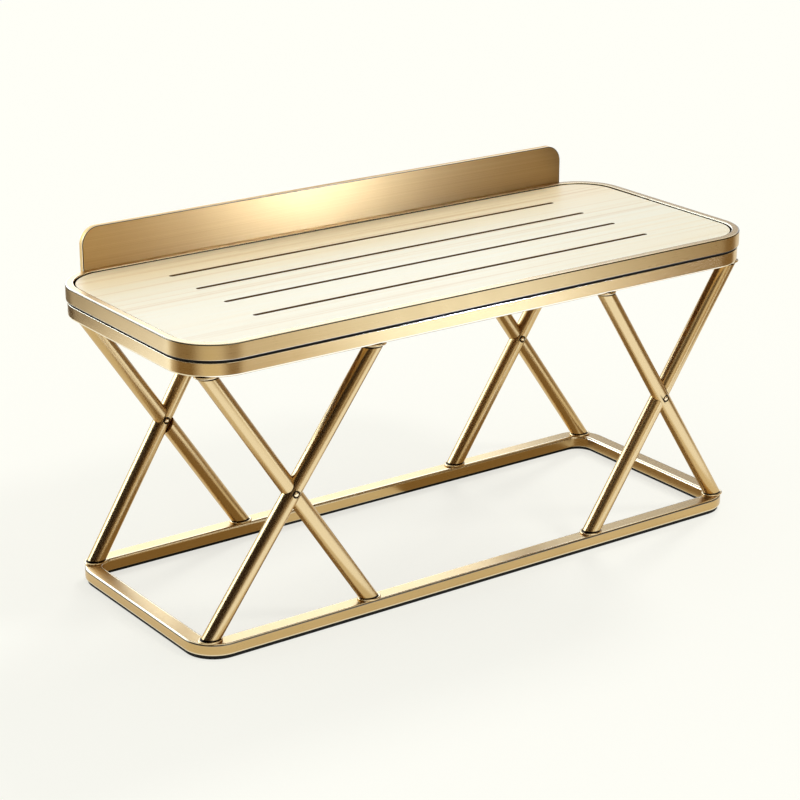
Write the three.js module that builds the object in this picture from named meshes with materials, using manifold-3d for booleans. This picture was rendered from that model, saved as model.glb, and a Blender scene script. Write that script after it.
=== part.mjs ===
// Hotel luggage bench: a timber panel in a brass tray with a back plate, carried on four crossed
// pairs of tubes that stand on a floor ring.
// Millimetres, +Z up. The floor is z = 0, the length runs along X and the back plate is on the +Y side.

import * as THREE from 'three';
import { mergeVertices } from 'three/addons/utils/BufferGeometryUtils.js';
import Module from 'manifold-3d';

const wasm = await Module();
wasm.setup();

// Tray: the rim that frames the panel
const SEAT_HEIGHT = 460;
const TRAY_LENGTH = 1000;
const TRAY_DEPTH = 410;
const TRAY_CORNER_RADIUS = 76;
const RIM_HEIGHT = 24;
const RIM_WIDTH = 12;
const RIM_CHAMFER = 1.5;
const LEDGE_THICKNESS = 3;

// Timber panel and its four long grooves
const PANEL_THICKNESS = 19;
const PANEL_GAP = 2.5;
const GROOVE_COUNT = 4;
const GROOVE_PITCH = 75;
const GROOVE_END_MARGIN = 134;
const GROOVE_WIDTH = 6;
const GROOVE_DEPTH = 7;

// Top frame under the tray, and the black spacer that leaves a shadow line between the two
const SHADOW_GAP = 3;
const SPACER_RECESS = 1.5;
const FRAME_INSET = 2;
const FRAME_HEIGHT = 20;
const FRAME_RAIL_WIDTH = 26;
const FRAME_WALL = 3;
const FRAME_EDGE_RADIUS = 2.5;

// Cross bearers welded between the long rails of the top frame
const BEARER_COUNT = 3;
const BEARER_WIDTH = 30;
const BEARER_WALL = 2.5;
const BEARER_LIFT = 2;

// Screws that hold the panel down on the bearers
const PANEL_SCREW_SPREAD = 150;
const PANEL_SCREW_DIAMETER = 4;
const PANEL_SCREW_HEAD_DIAMETER = 8;
const PANEL_SCREW_HEAD_HEIGHT = 2.5;
const PANEL_SCREW_BITE = 12;

// Back plate and the screws that hold it on the rear wall of the rim
const PLATE_END_INSET = 60;
const PLATE_RISE = 62;
const PLATE_LAP = 20;
const PLATE_THICKNESS = 10;
const PLATE_CORNER_RADIUS = 27;
const PLATE_SCREW_COUNT = 4;
const PLATE_SCREW_DIAMETER = 4;
const PLATE_SCREW_HEAD_DIAMETER = 8.5;
const PLATE_SCREW_HEAD_HEIGHT = 3;
const PLATE_SCREW_BITE = 8;

// Floor ring, a channel turned down, and the rubber strip that fills it
const BASE_LIFT = 6;
const BASE_HEIGHT = 18;
const BASE_RAIL_WIDTH = 26;
const BASE_WALL = 3;
const BASE_CHAMFER = 1.5;
const BASE_CORNER_RADIUS = 50;
const BASE_END_INSET = 10;
const BASE_SIDE_INSET = 18;

// Crossed tubes, their end collars and the rivets at the crossings
const TUBE_DIAMETER = 25;
const TUBE_WALL = 2;
const FOOT_END_INSET = 25;
const TOP_END_INSET = 33;
const CROSS_SPREAD = 260;
const CORE_MARGIN = 4;
const COLLAR_WALL = 1.5;
const COLLAR_HEIGHT = 3;
const RIVET_SHANK_DIAMETER = 5;
const RIVET_HEAD_DIAMETER = 8;
const RIVET_HEAD_HEIGHT = 2;
const RIVET_SEAT_DEPTH = 1.4;
const RIVET_SEAT_MARGIN = 0.8;

// Clearances
const FIT_GAP = 0.3;
const SEAT_GAP = 0.1;

// Facets
const CORNER_STEPS = 8;
const TUBE_STEPS = 20;
const SCREW_STEPS = 12;
const GROOVE_END_STEPS = 6;
const DOME_STEPS = 4;

// Levels, from the floor up
const baseTop = BASE_LIFT + BASE_HEIGHT;
const rimBottom = SEAT_HEIGHT - RIM_HEIGHT;
const ledgeTop = rimBottom + LEDGE_THICKNESS;
const panelBottom = ledgeTop + SEAT_GAP;
const frameTop = rimBottom - SHADOW_GAP;
const frameBottom = frameTop - FRAME_HEIGHT;
const tubeRadius = TUBE_DIAMETER / 2;

// Outer outlines of the three rings
const trayOutline = { length: TRAY_LENGTH, depth: TRAY_DEPTH, radius: TRAY_CORNER_RADIUS };
const frameOutline = {
  length: TRAY_LENGTH - 2 * FRAME_INSET,
  depth: TRAY_DEPTH - 2 * FRAME_INSET,
  radius: TRAY_CORNER_RADIUS - FRAME_INSET,
};
const baseOutline = {
  length: TRAY_LENGTH - 2 * BASE_END_INSET,
  depth: TRAY_DEPTH - 2 * BASE_SIDE_INSET,
  radius: BASE_CORNER_RADIUS,
};

const FINISHES = {
  brass: { color: 0xb8925a, roughness: 0.32, metalness: 1 },
  timber: { color: 0xe6d3b3, roughness: 0.6, metalness: 0 },
  rubber: { color: 0x15130f, roughness: 0.85, metalness: 0 },
  steel: { color: 0x8d8b86, roughness: 0.4, metalness: 1 },
};

const bench = new THREE.Group();

/** Adds one named piece of the bench and returns it for placing. */
function addPiece(name, geometry, finish) {
  const piece = new THREE.Mesh(geometry, new THREE.MeshStandardMaterial(FINISHES[finish]));
  piece.name = name;
  bench.add(piece);
  return piece;
}

/** Closed three.js geometry as a solid that can be joined and cut. */
function toSolid(geometry) {
  const bare = geometry.clone();
  bare.deleteAttribute('normal');
  bare.deleteAttribute('uv');
  const merged = mergeVertices(bare);
  const vertProperties = merged.attributes.position.array;
  const triVerts = Uint32Array.from(merged.index.array);
  return new wasm.Manifold(new wasm.Mesh({ numProp: 3, vertProperties, triVerts }));
}

/** A cut solid as three.js geometry again. */
function toGeometry(solid) {
  const mesh = solid.getMesh();
  const geometry = new THREE.BufferGeometry();
  geometry.setAttribute('position', new THREE.BufferAttribute(mesh.vertProperties, 3));
  geometry.setIndex(new THREE.BufferAttribute(mesh.triVerts, 1));
  geometry.computeVertexNormals();
  return geometry;
}

/** Points of a rounded rectangle drawn in by an inset, anticlockwise seen from above. */
function outlinePoints({ length, depth, radius }, inset) {
  const corners = [[1, 1], [-1, 1], [-1, -1], [1, -1]];
  return corners.flatMap(([sideX, sideY], quarter) => {
    const centreX = sideX * (length / 2 - radius);
    const centreY = sideY * (depth / 2 - radius);
    const start = quarter * Math.PI / 2;
    const arc = new THREE.ArcCurve(centreX, centreY, radius - inset, start, start + Math.PI / 2);
    return arc.getPoints(CORNER_STEPS);
  });
}

/** Ring whose section follows an outline. Section points are (inset, height), upwards on the outside. */
function sweptRing(outline, section) {
  const positions = section.flatMap(([inset, height]) => (
    outlinePoints(outline, inset).flatMap((point) => [point.x, point.y, height])
  ));
  const count = positions.length / 3 / section.length;
  const index = [];
  section.forEach((_, row) => {
    const nextRow = (row + 1) % section.length;
    for (let i = 0; i < count; i += 1) {
      const next = (i + 1) % count;
      const corner = row * count + i;
      const opposite = nextRow * count + next;
      index.push(corner, row * count + next, opposite);
      index.push(corner, opposite, nextRow * count + i);
    }
  });
  const geometry = new THREE.BufferGeometry();
  geometry.setAttribute('position', new THREE.Float32BufferAttribute(positions, 3));
  geometry.setIndex(index);
  geometry.computeVertexNormals();
  return geometry;
}

/** Round bar between two points. */
function roundBar(from, to, radius, steps) {
  const axis = to.clone().sub(from);
  const geometry = new THREE.CylinderGeometry(radius, radius, axis.length(), steps);
  geometry.applyQuaternion(turnTo(axis));
  geometry.translate(...from.clone().lerp(to, 0.5).toArray());
  return toSolid(geometry);
}

/** Turn that takes +Y to a direction. */
function turnTo(direction) {
  const along = direction.clone().normalize();
  return new THREE.Quaternion().setFromUnitVectors(new THREE.Vector3(0, 1, 0), along);
}

/** Everything between two heights. */
function slab(low, high) {
  const geometry = new THREE.BoxGeometry(2 * TRAY_LENGTH, 2 * TRAY_DEPTH, high - low);
  geometry.translate(0, 0, (low + high) / 2);
  return toSolid(geometry);
}

/** Evenly pitched places, centred on zero. */
function pitched(count, pitch) {
  return Array.from({ length: count }, (_, i) => (i - (count - 1) / 2) * pitch);
}

/** Middles of the equal bays that a run is shared into, centred on zero. */
function bayMiddles(count, run) {
  return pitched(count, run / count);
}

/** Screw along +Y with its head's bearing face at the origin and its shank pointing up. */
function screwGeometry(headDiameter, headHeight, shankDiameter, shankLength) {
  const profile = [
    [0, -headHeight],
    [headDiameter / 2, -headHeight],
    [headDiameter / 2, 0],
    [shankDiameter / 2, 0],
    [shankDiameter / 2, shankLength],
    [0, shankLength],
  ];
  return new THREE.LatheGeometry(profile.map(([x, y]) => new THREE.Vector2(x, y)), SCREW_STEPS);
}

// Places of the bearers along the straight rails, and of the panel screws: a pair on each bearer
const bearerPlaces = bayMiddles(BEARER_COUNT, frameOutline.length - 2 * frameOutline.radius);
const panelScrewPlaces = bearerPlaces.flatMap((x) => pitched(2, PANEL_SCREW_SPREAD).map((y) => [x, y]));
const panelScrewLength = BEARER_WALL + 2 * SEAT_GAP + PANEL_SCREW_BITE;

// Places of the plate screws, along the middle of the lap between plate and rim
const rimRear = TRAY_DEPTH / 2;
const plateFront = rimRear + FIT_GAP;
const plateRear = plateFront + PLATE_THICKNESS;
const plateScrewHeight = SEAT_HEIGHT - PLATE_LAP / 2;
const plateScrewSeat = plateRear - PLATE_SCREW_HEAD_HEIGHT - FIT_GAP;
const plateScrewLength = plateScrewSeat - rimRear + PLATE_SCREW_BITE;
const plateLength = TRAY_LENGTH - 2 * PLATE_END_INSET;
const plateScrewPlaces = bayMiddles(PLATE_SCREW_COUNT, plateLength);

/** Timber panel: a rounded slab with long round-ended grooves on top and screw holes below. */
function addPanel() {
  const panelInset = RIM_WIDTH + PANEL_GAP;
  const shape = new THREE.Shape(outlinePoints(trayOutline, panelInset));
  const blank = new THREE.ExtrudeGeometry(shape, { depth: PANEL_THICKNESS, bevelEnabled: false });
  blank.translate(0, 0, panelBottom);
  let solid = toSolid(blank);

  const run = TRAY_LENGTH / 2 - panelInset - GROOVE_END_MARGIN - GROOVE_WIDTH / 2;
  const groove = new THREE.Shape();
  groove.absarc(run, 0, GROOVE_WIDTH / 2, -Math.PI / 2, Math.PI / 2);
  groove.absarc(-run, 0, GROOVE_WIDTH / 2, Math.PI / 2, 3 * Math.PI / 2);
  const grooveOptions = { depth: 2 * GROOVE_DEPTH, bevelEnabled: false, curveSegments: GROOVE_END_STEPS };
  for (const y of pitched(GROOVE_COUNT, GROOVE_PITCH)) {
    const cutter = new THREE.ExtrudeGeometry(groove, grooveOptions);
    cutter.translate(0, y, panelBottom + PANEL_THICKNESS - GROOVE_DEPTH);
    solid = solid.subtract(toSolid(cutter));
  }

  const holeRadius = PANEL_SCREW_DIAMETER / 2 + FIT_GAP;
  for (const [x, y] of panelScrewPlaces) {
    const mouth = new THREE.Vector3(x, y, panelBottom - PANEL_SCREW_BITE);
    const end = new THREE.Vector3(x, y, panelBottom + PANEL_SCREW_BITE + FIT_GAP);
    solid = solid.subtract(roundBar(mouth, end, holeRadius, SCREW_STEPS));
  }
  addPiece('wood_panel', toGeometry(solid), 'timber');
}

/** Tray rim: an upright wall with a ledge under the panel, tapped at the rear for the plate screws. */
function addRim() {
  const ledgeInset = FRAME_INSET + FRAME_RAIL_WIDTH;
  const section = [
    [RIM_CHAMFER, rimBottom],
    [0, rimBottom + RIM_CHAMFER],
    [0, SEAT_HEIGHT - RIM_CHAMFER],
    [RIM_CHAMFER, SEAT_HEIGHT],
    [RIM_WIDTH, SEAT_HEIGHT],
    [RIM_WIDTH, ledgeTop],
    [ledgeInset, ledgeTop],
    [ledgeInset, rimBottom],
  ];
  let solid = toSolid(sweptRing(trayOutline, section));
  for (const x of plateScrewPlaces) {
    const mouth = new THREE.Vector3(x, plateFront, plateScrewHeight);
    const end = new THREE.Vector3(x, rimRear - PLATE_SCREW_BITE - FIT_GAP, plateScrewHeight);
    solid = solid.subtract(roundBar(mouth, end, PLATE_SCREW_DIAMETER / 2 + FIT_GAP, SCREW_STEPS));
  }
  addPiece('tray_rim', toGeometry(solid), 'brass');
}

/** Black spacer between tray and frame, set back to leave the shadow line. */
function addSpacer() {
  const low = frameTop + SEAT_GAP;
  const high = rimBottom - SEAT_GAP;
  const section = [
    [SPACER_RECESS, low],
    [SPACER_RECESS, high],
    [FRAME_RAIL_WIDTH, high],
    [FRAME_RAIL_WIDTH, low],
  ];
  addPiece('shadow_spacer', sweptRing(frameOutline, section), 'rubber');
}

/** Top frame: a channel ring open upwards, with its lower outer edges rounded. */
function addTopFrame() {
  const inner = FRAME_RAIL_WIDTH - FRAME_WALL;
  const floor = frameBottom + FRAME_WALL;
  const slope = FRAME_EDGE_RADIUS * (1 - Math.SQRT1_2);
  const section = [
    [FRAME_EDGE_RADIUS, frameBottom],
    [slope, frameBottom + slope],
    [0, frameBottom + FRAME_EDGE_RADIUS],
    [0, frameTop],
    [FRAME_WALL, frameTop],
    [FRAME_WALL, floor],
    [inner, floor],
    [inner, frameTop],
    [FRAME_RAIL_WIDTH, frameTop],
    [FRAME_RAIL_WIDTH, frameBottom + FRAME_EDGE_RADIUS],
    [FRAME_RAIL_WIDTH - slope, frameBottom + slope],
    [FRAME_RAIL_WIDTH - FRAME_EDGE_RADIUS, frameBottom],
  ];
  addPiece('top_frame', sweptRing(frameOutline, section), 'brass');
}

/** Cross bearers: channels open downwards, drilled through the top for the panel screws. */
function addBearers() {
  const reach = frameOutline.depth - 2 * (FRAME_RAIL_WIDTH + FIT_GAP);
  const low = frameBottom + BEARER_LIFT;
  const half = BEARER_WIDTH / 2;
  const profile = [
    [-half, low],
    [-half + BEARER_WALL, low],
    [-half + BEARER_WALL, ledgeTop - BEARER_WALL],
    [half - BEARER_WALL, ledgeTop - BEARER_WALL],
    [half - BEARER_WALL, low],
    [half, low],
    [half, ledgeTop],
    [-half, ledgeTop],
  ];
  const shape = new THREE.Shape(profile.map(([x, z]) => new THREE.Vector2(x, z)));
  bearerPlaces.forEach((place, i) => {
    const channel = new THREE.ExtrudeGeometry(shape, { depth: reach, bevelEnabled: false });
    channel.rotateX(Math.PI / 2);
    channel.translate(place, reach / 2, 0);
    let solid = toSolid(channel);
    for (const [x, y] of panelScrewPlaces.filter(([screwX]) => screwX === place)) {
      const under = new THREE.Vector3(x, y, ledgeTop - 2 * BEARER_WALL);
      const over = new THREE.Vector3(x, y, ledgeTop + BEARER_WALL);
      solid = solid.subtract(roundBar(under, over, PANEL_SCREW_DIAMETER / 2 + FIT_GAP, SCREW_STEPS));
    }
    addPiece(`cross_bearer_${i + 1}`, toGeometry(solid), 'brass');
  });
}

/** Panel screws, driven up through the bearers into the panel. */
function addPanelScrews() {
  panelScrewPlaces.forEach(([x, y], i) => {
    const geometry = screwGeometry(
      PANEL_SCREW_HEAD_DIAMETER, PANEL_SCREW_HEAD_HEIGHT, PANEL_SCREW_DIAMETER, panelScrewLength,
    );
    const screw = addPiece(`panel_screw_${i + 1}`, geometry, 'steel');
    screw.rotation.x = Math.PI / 2;
    screw.position.set(x, y, ledgeTop - BEARER_WALL - SEAT_GAP);
  });
}

/** Back plate: an upright bar with its two top corners rounded, counterbored from behind. */
function addBackPlate() {
  const half = plateLength / 2;
  const low = SEAT_HEIGHT - PLATE_LAP;
  const high = SEAT_HEIGHT + PLATE_RISE;
  const shape = new THREE.Shape();
  shape.moveTo(-half, low);
  shape.lineTo(half, low);
  const cornerX = half - PLATE_CORNER_RADIUS;
  const cornerZ = high - PLATE_CORNER_RADIUS;
  shape.absarc(cornerX, cornerZ, PLATE_CORNER_RADIUS, 0, Math.PI / 2);
  shape.absarc(-cornerX, cornerZ, PLATE_CORNER_RADIUS, Math.PI / 2, Math.PI);
  const options = { depth: PLATE_THICKNESS, bevelEnabled: false, curveSegments: CORNER_STEPS };
  const blank = new THREE.ExtrudeGeometry(shape, options);
  blank.rotateX(Math.PI / 2);
  blank.translate(0, plateRear, 0);
  let solid = toSolid(blank);
  for (const x of plateScrewPlaces) {
    const front = new THREE.Vector3(x, plateFront - PLATE_THICKNESS, plateScrewHeight);
    const seat = new THREE.Vector3(x, plateScrewSeat, plateScrewHeight);
    const rear = new THREE.Vector3(x, plateRear + PLATE_THICKNESS, plateScrewHeight);
    solid = solid.subtract(roundBar(front, rear, PLATE_SCREW_DIAMETER / 2 + FIT_GAP, SCREW_STEPS));
    solid = solid.subtract(roundBar(seat, rear, PLATE_SCREW_HEAD_DIAMETER / 2 + FIT_GAP, SCREW_STEPS));
  }
  addPiece('back_plate', toGeometry(solid), 'brass');
}

/** Plate screws, driven forwards through the plate into the rim. */
function addPlateScrews() {
  plateScrewPlaces.forEach((x, i) => {
    const geometry = screwGeometry(
      PLATE_SCREW_HEAD_DIAMETER, PLATE_SCREW_HEAD_HEIGHT, PLATE_SCREW_DIAMETER, plateScrewLength,
    );
    const screw = addPiece(`plate_screw_${i + 1}`, geometry, 'brass');
    screw.rotation.x = Math.PI;
    screw.position.set(x, plateScrewSeat + SEAT_GAP, plateScrewHeight);
  });
}

/** Floor ring: a channel turned down, with its outer and upper inner edges chamfered. */
function addBaseRing() {
  const inner = BASE_RAIL_WIDTH - BASE_WALL;
  const ceiling = baseTop - BASE_WALL;
  const section = [
    [BASE_CHAMFER, BASE_LIFT],
    [0, BASE_LIFT + BASE_CHAMFER],
    [0, baseTop - BASE_CHAMFER],
    [BASE_CHAMFER, baseTop],
    [BASE_RAIL_WIDTH - BASE_CHAMFER, baseTop],
    [BASE_RAIL_WIDTH, baseTop - BASE_CHAMFER],
    [BASE_RAIL_WIDTH, BASE_LIFT],
    [inner, BASE_LIFT],
    [inner, ceiling],
    [BASE_WALL, ceiling],
    [BASE_WALL, BASE_LIFT],
  ];
  addPiece('base_ring', sweptRing(baseOutline, section), 'brass');
}

/** Rubber strip that fills the floor ring and stands below it. */
function addFloorPad() {
  const outer = BASE_WALL + FIT_GAP;
  const inner = BASE_RAIL_WIDTH - BASE_WALL - FIT_GAP;
  const top = baseTop - BASE_WALL - SEAT_GAP;
  const section = [[outer, 0], [outer, top], [inner, top], [inner, 0]];
  addPiece('floor_pad', sweptRing(baseOutline, section), 'rubber');
}

/** Depth of a ring's rail centre line at a place along its length. */
function railDepth({ length, depth, radius }, railWidth, x) {
  const past = Math.max(0, Math.abs(x) - (length / 2 - radius));
  const sweep = radius - railWidth / 2;
  return depth / 2 - radius + Math.sqrt(sweep * sweep - past * past);
}

/** Axis of one tube, from its foot on the floor ring to its top under the frame. */
function tubeAxis(side, row, footIsOuter) {
  const footOuter = baseOutline.length / 2 - FOOT_END_INSET;
  const topOuter = frameOutline.length / 2 - TOP_END_INSET;
  const footX = side * (footIsOuter ? footOuter : footOuter - CROSS_SPREAD);
  const topX = side * (footIsOuter ? topOuter - CROSS_SPREAD : topOuter);
  const foot = new THREE.Vector3(footX, row * railDepth(baseOutline, BASE_RAIL_WIDTH, footX), baseTop);
  const top = new THREE.Vector3(topX, row * railDepth(frameOutline, FRAME_RAIL_WIDTH, topX), frameBottom);
  const direction = top.clone().sub(foot).normalize();
  return { foot, top, direction };
}

/** Points of two axes where they pass closest to each other. */
function closestPoints(first, second) {
  const between = first.foot.clone().sub(second.foot);
  const lean = first.direction.dot(second.direction);
  const alongFirst = between.dot(first.direction);
  const alongSecond = between.dot(second.direction);
  const spread = 1 - lean * lean;
  const firstRun = (lean * alongSecond - alongFirst) / spread;
  const secondRun = (alongSecond - lean * alongFirst) / spread;
  return [
    first.foot.clone().addScaledVector(first.direction, firstRun),
    second.foot.clone().addScaledVector(second.direction, secondRun),
  ];
}

/** Round bar along a tube's axis that runs past both of its ends. */
function barPastEnds(axis, radius) {
  const from = axis.foot.clone().addScaledVector(axis.direction, -TUBE_DIAMETER);
  const to = axis.top.clone().addScaledVector(axis.direction, TUBE_DIAMETER);
  return roundBar(from, to, radius, TUBE_STEPS);
}

/** Half of the crossing that a tube gives up to its partner: a box along the partner's axis. */
function halvingCut(middle, partnerDirection, facing) {
  const depth = 2 * TUBE_DIAMETER;
  const geometry = new THREE.BoxGeometry(4 * TUBE_DIAMETER, TUBE_DIAMETER + 2 * FIT_GAP, depth);
  const across = facing.clone().cross(partnerDirection);
  geometry.applyMatrix4(new THREE.Matrix4().makeBasis(partnerDirection, across, facing));
  geometry.translate(...middle.clone().addScaledVector(facing, (FIT_GAP - depth) / 2).toArray());
  return toSolid(geometry);
}

/** Tube hollow from both ends, solid and halved at the crossing, and drilled there for the rivet. */
function tubeGeometry(axis, nearest, middle, partnerDirection, facing) {
  const core = TUBE_DIAMETER + CORE_MARGIN;
  const boreRadius = tubeRadius - TUBE_WALL;
  const below = axis.foot.clone().addScaledVector(axis.direction, -TUBE_DIAMETER);
  const above = axis.top.clone().addScaledVector(axis.direction, TUBE_DIAMETER);
  const coreLow = nearest.clone().addScaledVector(axis.direction, -core);
  const coreHigh = nearest.clone().addScaledVector(axis.direction, core);
  const crown = nearest.clone().addScaledVector(facing, tubeRadius);
  const seat = crown.clone().addScaledVector(facing, -RIVET_SEAT_DEPTH);
  const outside = crown.clone().addScaledVector(facing, TUBE_DIAMETER);
  const inside = crown.clone().addScaledVector(facing, -2 * TUBE_DIAMETER);
  const seatRadius = RIVET_HEAD_DIAMETER / 2 + RIVET_SEAT_MARGIN;
  const holeRadius = RIVET_SHANK_DIAMETER / 2 + FIT_GAP;
  const solid = barPastEnds(axis, tubeRadius)
    .intersect(slab(baseTop + FIT_GAP, frameBottom - FIT_GAP))
    .subtract(roundBar(below, coreLow, boreRadius, TUBE_STEPS))
    .subtract(roundBar(coreHigh, above, boreRadius, TUBE_STEPS))
    .subtract(halvingCut(middle, partnerDirection, facing))
    .subtract(roundBar(seat, outside, seatRadius, SCREW_STEPS))
    .subtract(roundBar(inside, outside, holeRadius, SCREW_STEPS));
  return toGeometry(solid);
}

/** Collar round one end of a tube, between two heights. */
function collarGeometry(axis, low, high) {
  const inner = tubeRadius + FIT_GAP;
  const sleeve = barPastEnds(axis, inner + COLLAR_WALL).subtract(barPastEnds(axis, inner));
  return toGeometry(sleeve.intersect(slab(low, high)));
}

/** Rivet along +Y about the middle of the crossing, with a domed head on the crown of each tube. */
function rivetGeometry(frontSeat, rearSeat) {
  const head = RIVET_HEAD_DIAMETER / 2;
  const shank = RIVET_SHANK_DIAMETER / 2;
  const front = frontSeat + SEAT_GAP;
  const rear = -rearSeat - SEAT_GAP;
  const rearDome = new THREE.EllipseCurve(0, rear, head, RIVET_HEAD_HEIGHT, -Math.PI / 2, 0);
  const frontDome = new THREE.EllipseCurve(0, front, head, RIVET_HEAD_HEIGHT, 0, Math.PI / 2);
  const profile = [
    ...rearDome.getPoints(DOME_STEPS),
    new THREE.Vector2(shank, rear),
    new THREE.Vector2(shank, front),
    ...frontDome.getPoints(DOME_STEPS),
  ];
  return new THREE.LatheGeometry(profile, SCREW_STEPS);
}

/** One crossed pair of tubes with its four collars and its rivet. */
function addCrossedPair(corner, side, row, outerFootInFront) {
  const axes = [tubeAxis(side, row, outerFootInFront), tubeAxis(side, row, !outerFootInFront)];
  const nearest = closestPoints(...axes);
  const middle = nearest[0].clone().lerp(nearest[1], 0.5);
  const toFront = axes[0].direction.clone().cross(axes[1].direction).normalize();
  toFront.multiplyScalar(-Math.sign(toFront.y));

  const facings = [toFront, toFront.clone().negate()];
  const seats = axes.map((axis, i) => {
    const footName = outerFootInFront === (i === 0) ? 'outer' : 'inner';
    const name = `${corner}_${footName}_tube`;
    const partner = axes[1 - i].direction;
    addPiece(name, tubeGeometry(axis, nearest[i], middle, partner, facings[i]), 'brass');
    const footCollar = collarGeometry(axis, baseTop + SEAT_GAP, baseTop + COLLAR_HEIGHT);
    const topCollar = collarGeometry(axis, frameBottom - COLLAR_HEIGHT, frameBottom - SEAT_GAP);
    addPiece(`${name}_foot_collar`, footCollar, 'brass');
    addPiece(`${name}_top_collar`, topCollar, 'brass');
    return nearest[i].clone().sub(middle).dot(facings[i]) + tubeRadius - RIVET_SEAT_DEPTH;
  });

  const rivet = addPiece(`${corner}_rivet`, rivetGeometry(seats[0], seats[1]), 'brass');
  rivet.quaternion.copy(turnTo(toFront));
  rivet.position.copy(middle);
}

addPanel();
addRim();
addSpacer();
addTopFrame();
addBearers();
addPanelScrews();
addBackPlate();
addPlateScrews();
addBaseRing();
addFloorPad();
addCrossedPair('front_left', -1, -1, true);
addCrossedPair('front_right', 1, -1, true);
addCrossedPair('rear_left', -1, 1, true);
addCrossedPair('rear_right', 1, 1, false);

// The origin is on the floor under the middle of the bench with its back plate
bench.position.y = (rimRear - plateRear) / 2;

export default bench;
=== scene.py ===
"""Luggage bench: a timber panel in a brass tray with a back plate, on four crossed pairs of tubes.

Metres, +Z up. The floor is z = 0, the length runs along X and the back plate is on the +Y side.
"""

import logging
import math
from collections.abc import Iterable, Sequence
from dataclasses import dataclass
from enum import Enum
from typing import Any

import bmesh
import bpy
import numpy as np
from mathutils import Matrix, Vector


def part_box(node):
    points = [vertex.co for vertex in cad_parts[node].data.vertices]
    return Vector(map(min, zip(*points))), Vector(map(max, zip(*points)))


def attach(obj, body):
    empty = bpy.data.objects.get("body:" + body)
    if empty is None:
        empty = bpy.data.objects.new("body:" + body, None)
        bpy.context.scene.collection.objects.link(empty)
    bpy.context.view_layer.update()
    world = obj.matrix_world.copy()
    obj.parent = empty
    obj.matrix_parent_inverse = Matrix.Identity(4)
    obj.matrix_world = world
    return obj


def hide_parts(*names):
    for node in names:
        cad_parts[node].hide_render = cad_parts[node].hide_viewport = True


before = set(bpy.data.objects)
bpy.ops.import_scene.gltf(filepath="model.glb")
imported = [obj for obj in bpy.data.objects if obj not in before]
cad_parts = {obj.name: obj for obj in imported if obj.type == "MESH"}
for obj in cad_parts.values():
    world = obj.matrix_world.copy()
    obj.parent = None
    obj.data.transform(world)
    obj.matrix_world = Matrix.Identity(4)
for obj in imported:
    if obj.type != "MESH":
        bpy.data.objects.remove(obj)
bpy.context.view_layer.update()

BODY = "root"
LOG = logging.getLogger("luggage_bench")

# Fineness of the meshes
CORNER_STEPS = 24
EDGE_STEPS = 5
TUBE_STEPS = 72
BORE_STEPS = 32
SIDE_SUPPORT = 0.006
EDGE_SUPPORT = 0.0003
SMOOTH_ANGLE = math.radians(32)
TINY = 1e-7

# Names of the layers that the meshes carry for their finishes, their painted edge highlight and their painted
# shade
BRUSHING_LAYER = "brushing"
# Rubbed edges, which take a lower roughness and a paler colour that is partly a painted edge highlight.
POLISH_AND_HIGHLIGHT_LAYER = "polish"
# Painted shade: dark recesses, gaps, rivet seats and thin lines where shade or a dark reflection falls.
PAINTED_SHADE_LAYER = "stain"
TURN_LAYER = "turn"
TONE_LAYER = "tone"

Triple = tuple[float, float, float]


class Slot(Enum):
    """Material slots of the part's record."""

    BRASS = "brass"
    TIMBER = "timber"
    RUBBER = "rubber"
    STEEL = "steel"


class Brushing(Enum):
    """Direction of a piece's UV map that its brushing follows."""

    ALONG_U = 0
    ALONG_V = 1

    def stretch(self, along: float, across: float) -> Triple:
        """Scale of a pattern that runs along the brushing."""
        return (along, across, 1.0) if self is Brushing.ALONG_U else (across, along, 1.0)


class Graph:
    """Node tree of a material, the world or a geometry modifier."""

    def __init__(self, tree: bpy.types.NodeTree) -> None:
        """Takes a tree and empties it."""
        self.tree = tree
        tree.nodes.clear()

    def node(self, kind: str, settings: dict[str, Any] | None = None,
             sockets: dict[int | str, Any] | None = None) -> bpy.types.Node:
        """Adds a node.

        Args:
            kind: Type of the node.
            settings: Properties of the node, set first; "points" fills a float curve.
            sockets: Values or links of its inputs, by name or by index.

        Returns:
            The new node.
        """
        node = self.tree.nodes.new(kind)
        for name, setting in (settings or {}).items():
            if name == "points":
                self._draw_curve(node.mapping, setting)
            else:
                setattr(node, name, setting)
        for key, given in (sockets or {}).items():
            self._feed(node.inputs[key], given)
        return node

    def value(self, kind: str, settings: dict[str, Any] | None = None,
              sockets: dict[int | str, Any] | None = None, output: int = 0) -> "Value":
        """Adds a node and wraps one of its outputs as a number."""
        return Value(self, self.node(kind, settings, sockets).outputs[output])

    def _feed(self, socket: bpy.types.NodeSocket, given: Any) -> None:
        """Links an input to what it is given, or sets its value."""
        source = given.socket if isinstance(given, Value) else given
        if isinstance(source, bpy.types.NodeSocket):
            self.tree.links.new(source, socket)
        else:
            socket.default_value = source

    @staticmethod
    def _draw_curve(mapping: bpy.types.CurveMapping, heights: Sequence[float]) -> None:
        """Draws straight lines through evenly spaced heights, from 0 to 1 along the curve."""
        points = mapping.curves[0].points
        for _ in heights[2:]:
            points.new(0.5, 0.5)
        for index, height in enumerate(heights):
            points[index].location = (index / (len(heights) - 1), height)
            points[index].handle_type = "VECTOR"
        mapping.update()


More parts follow.
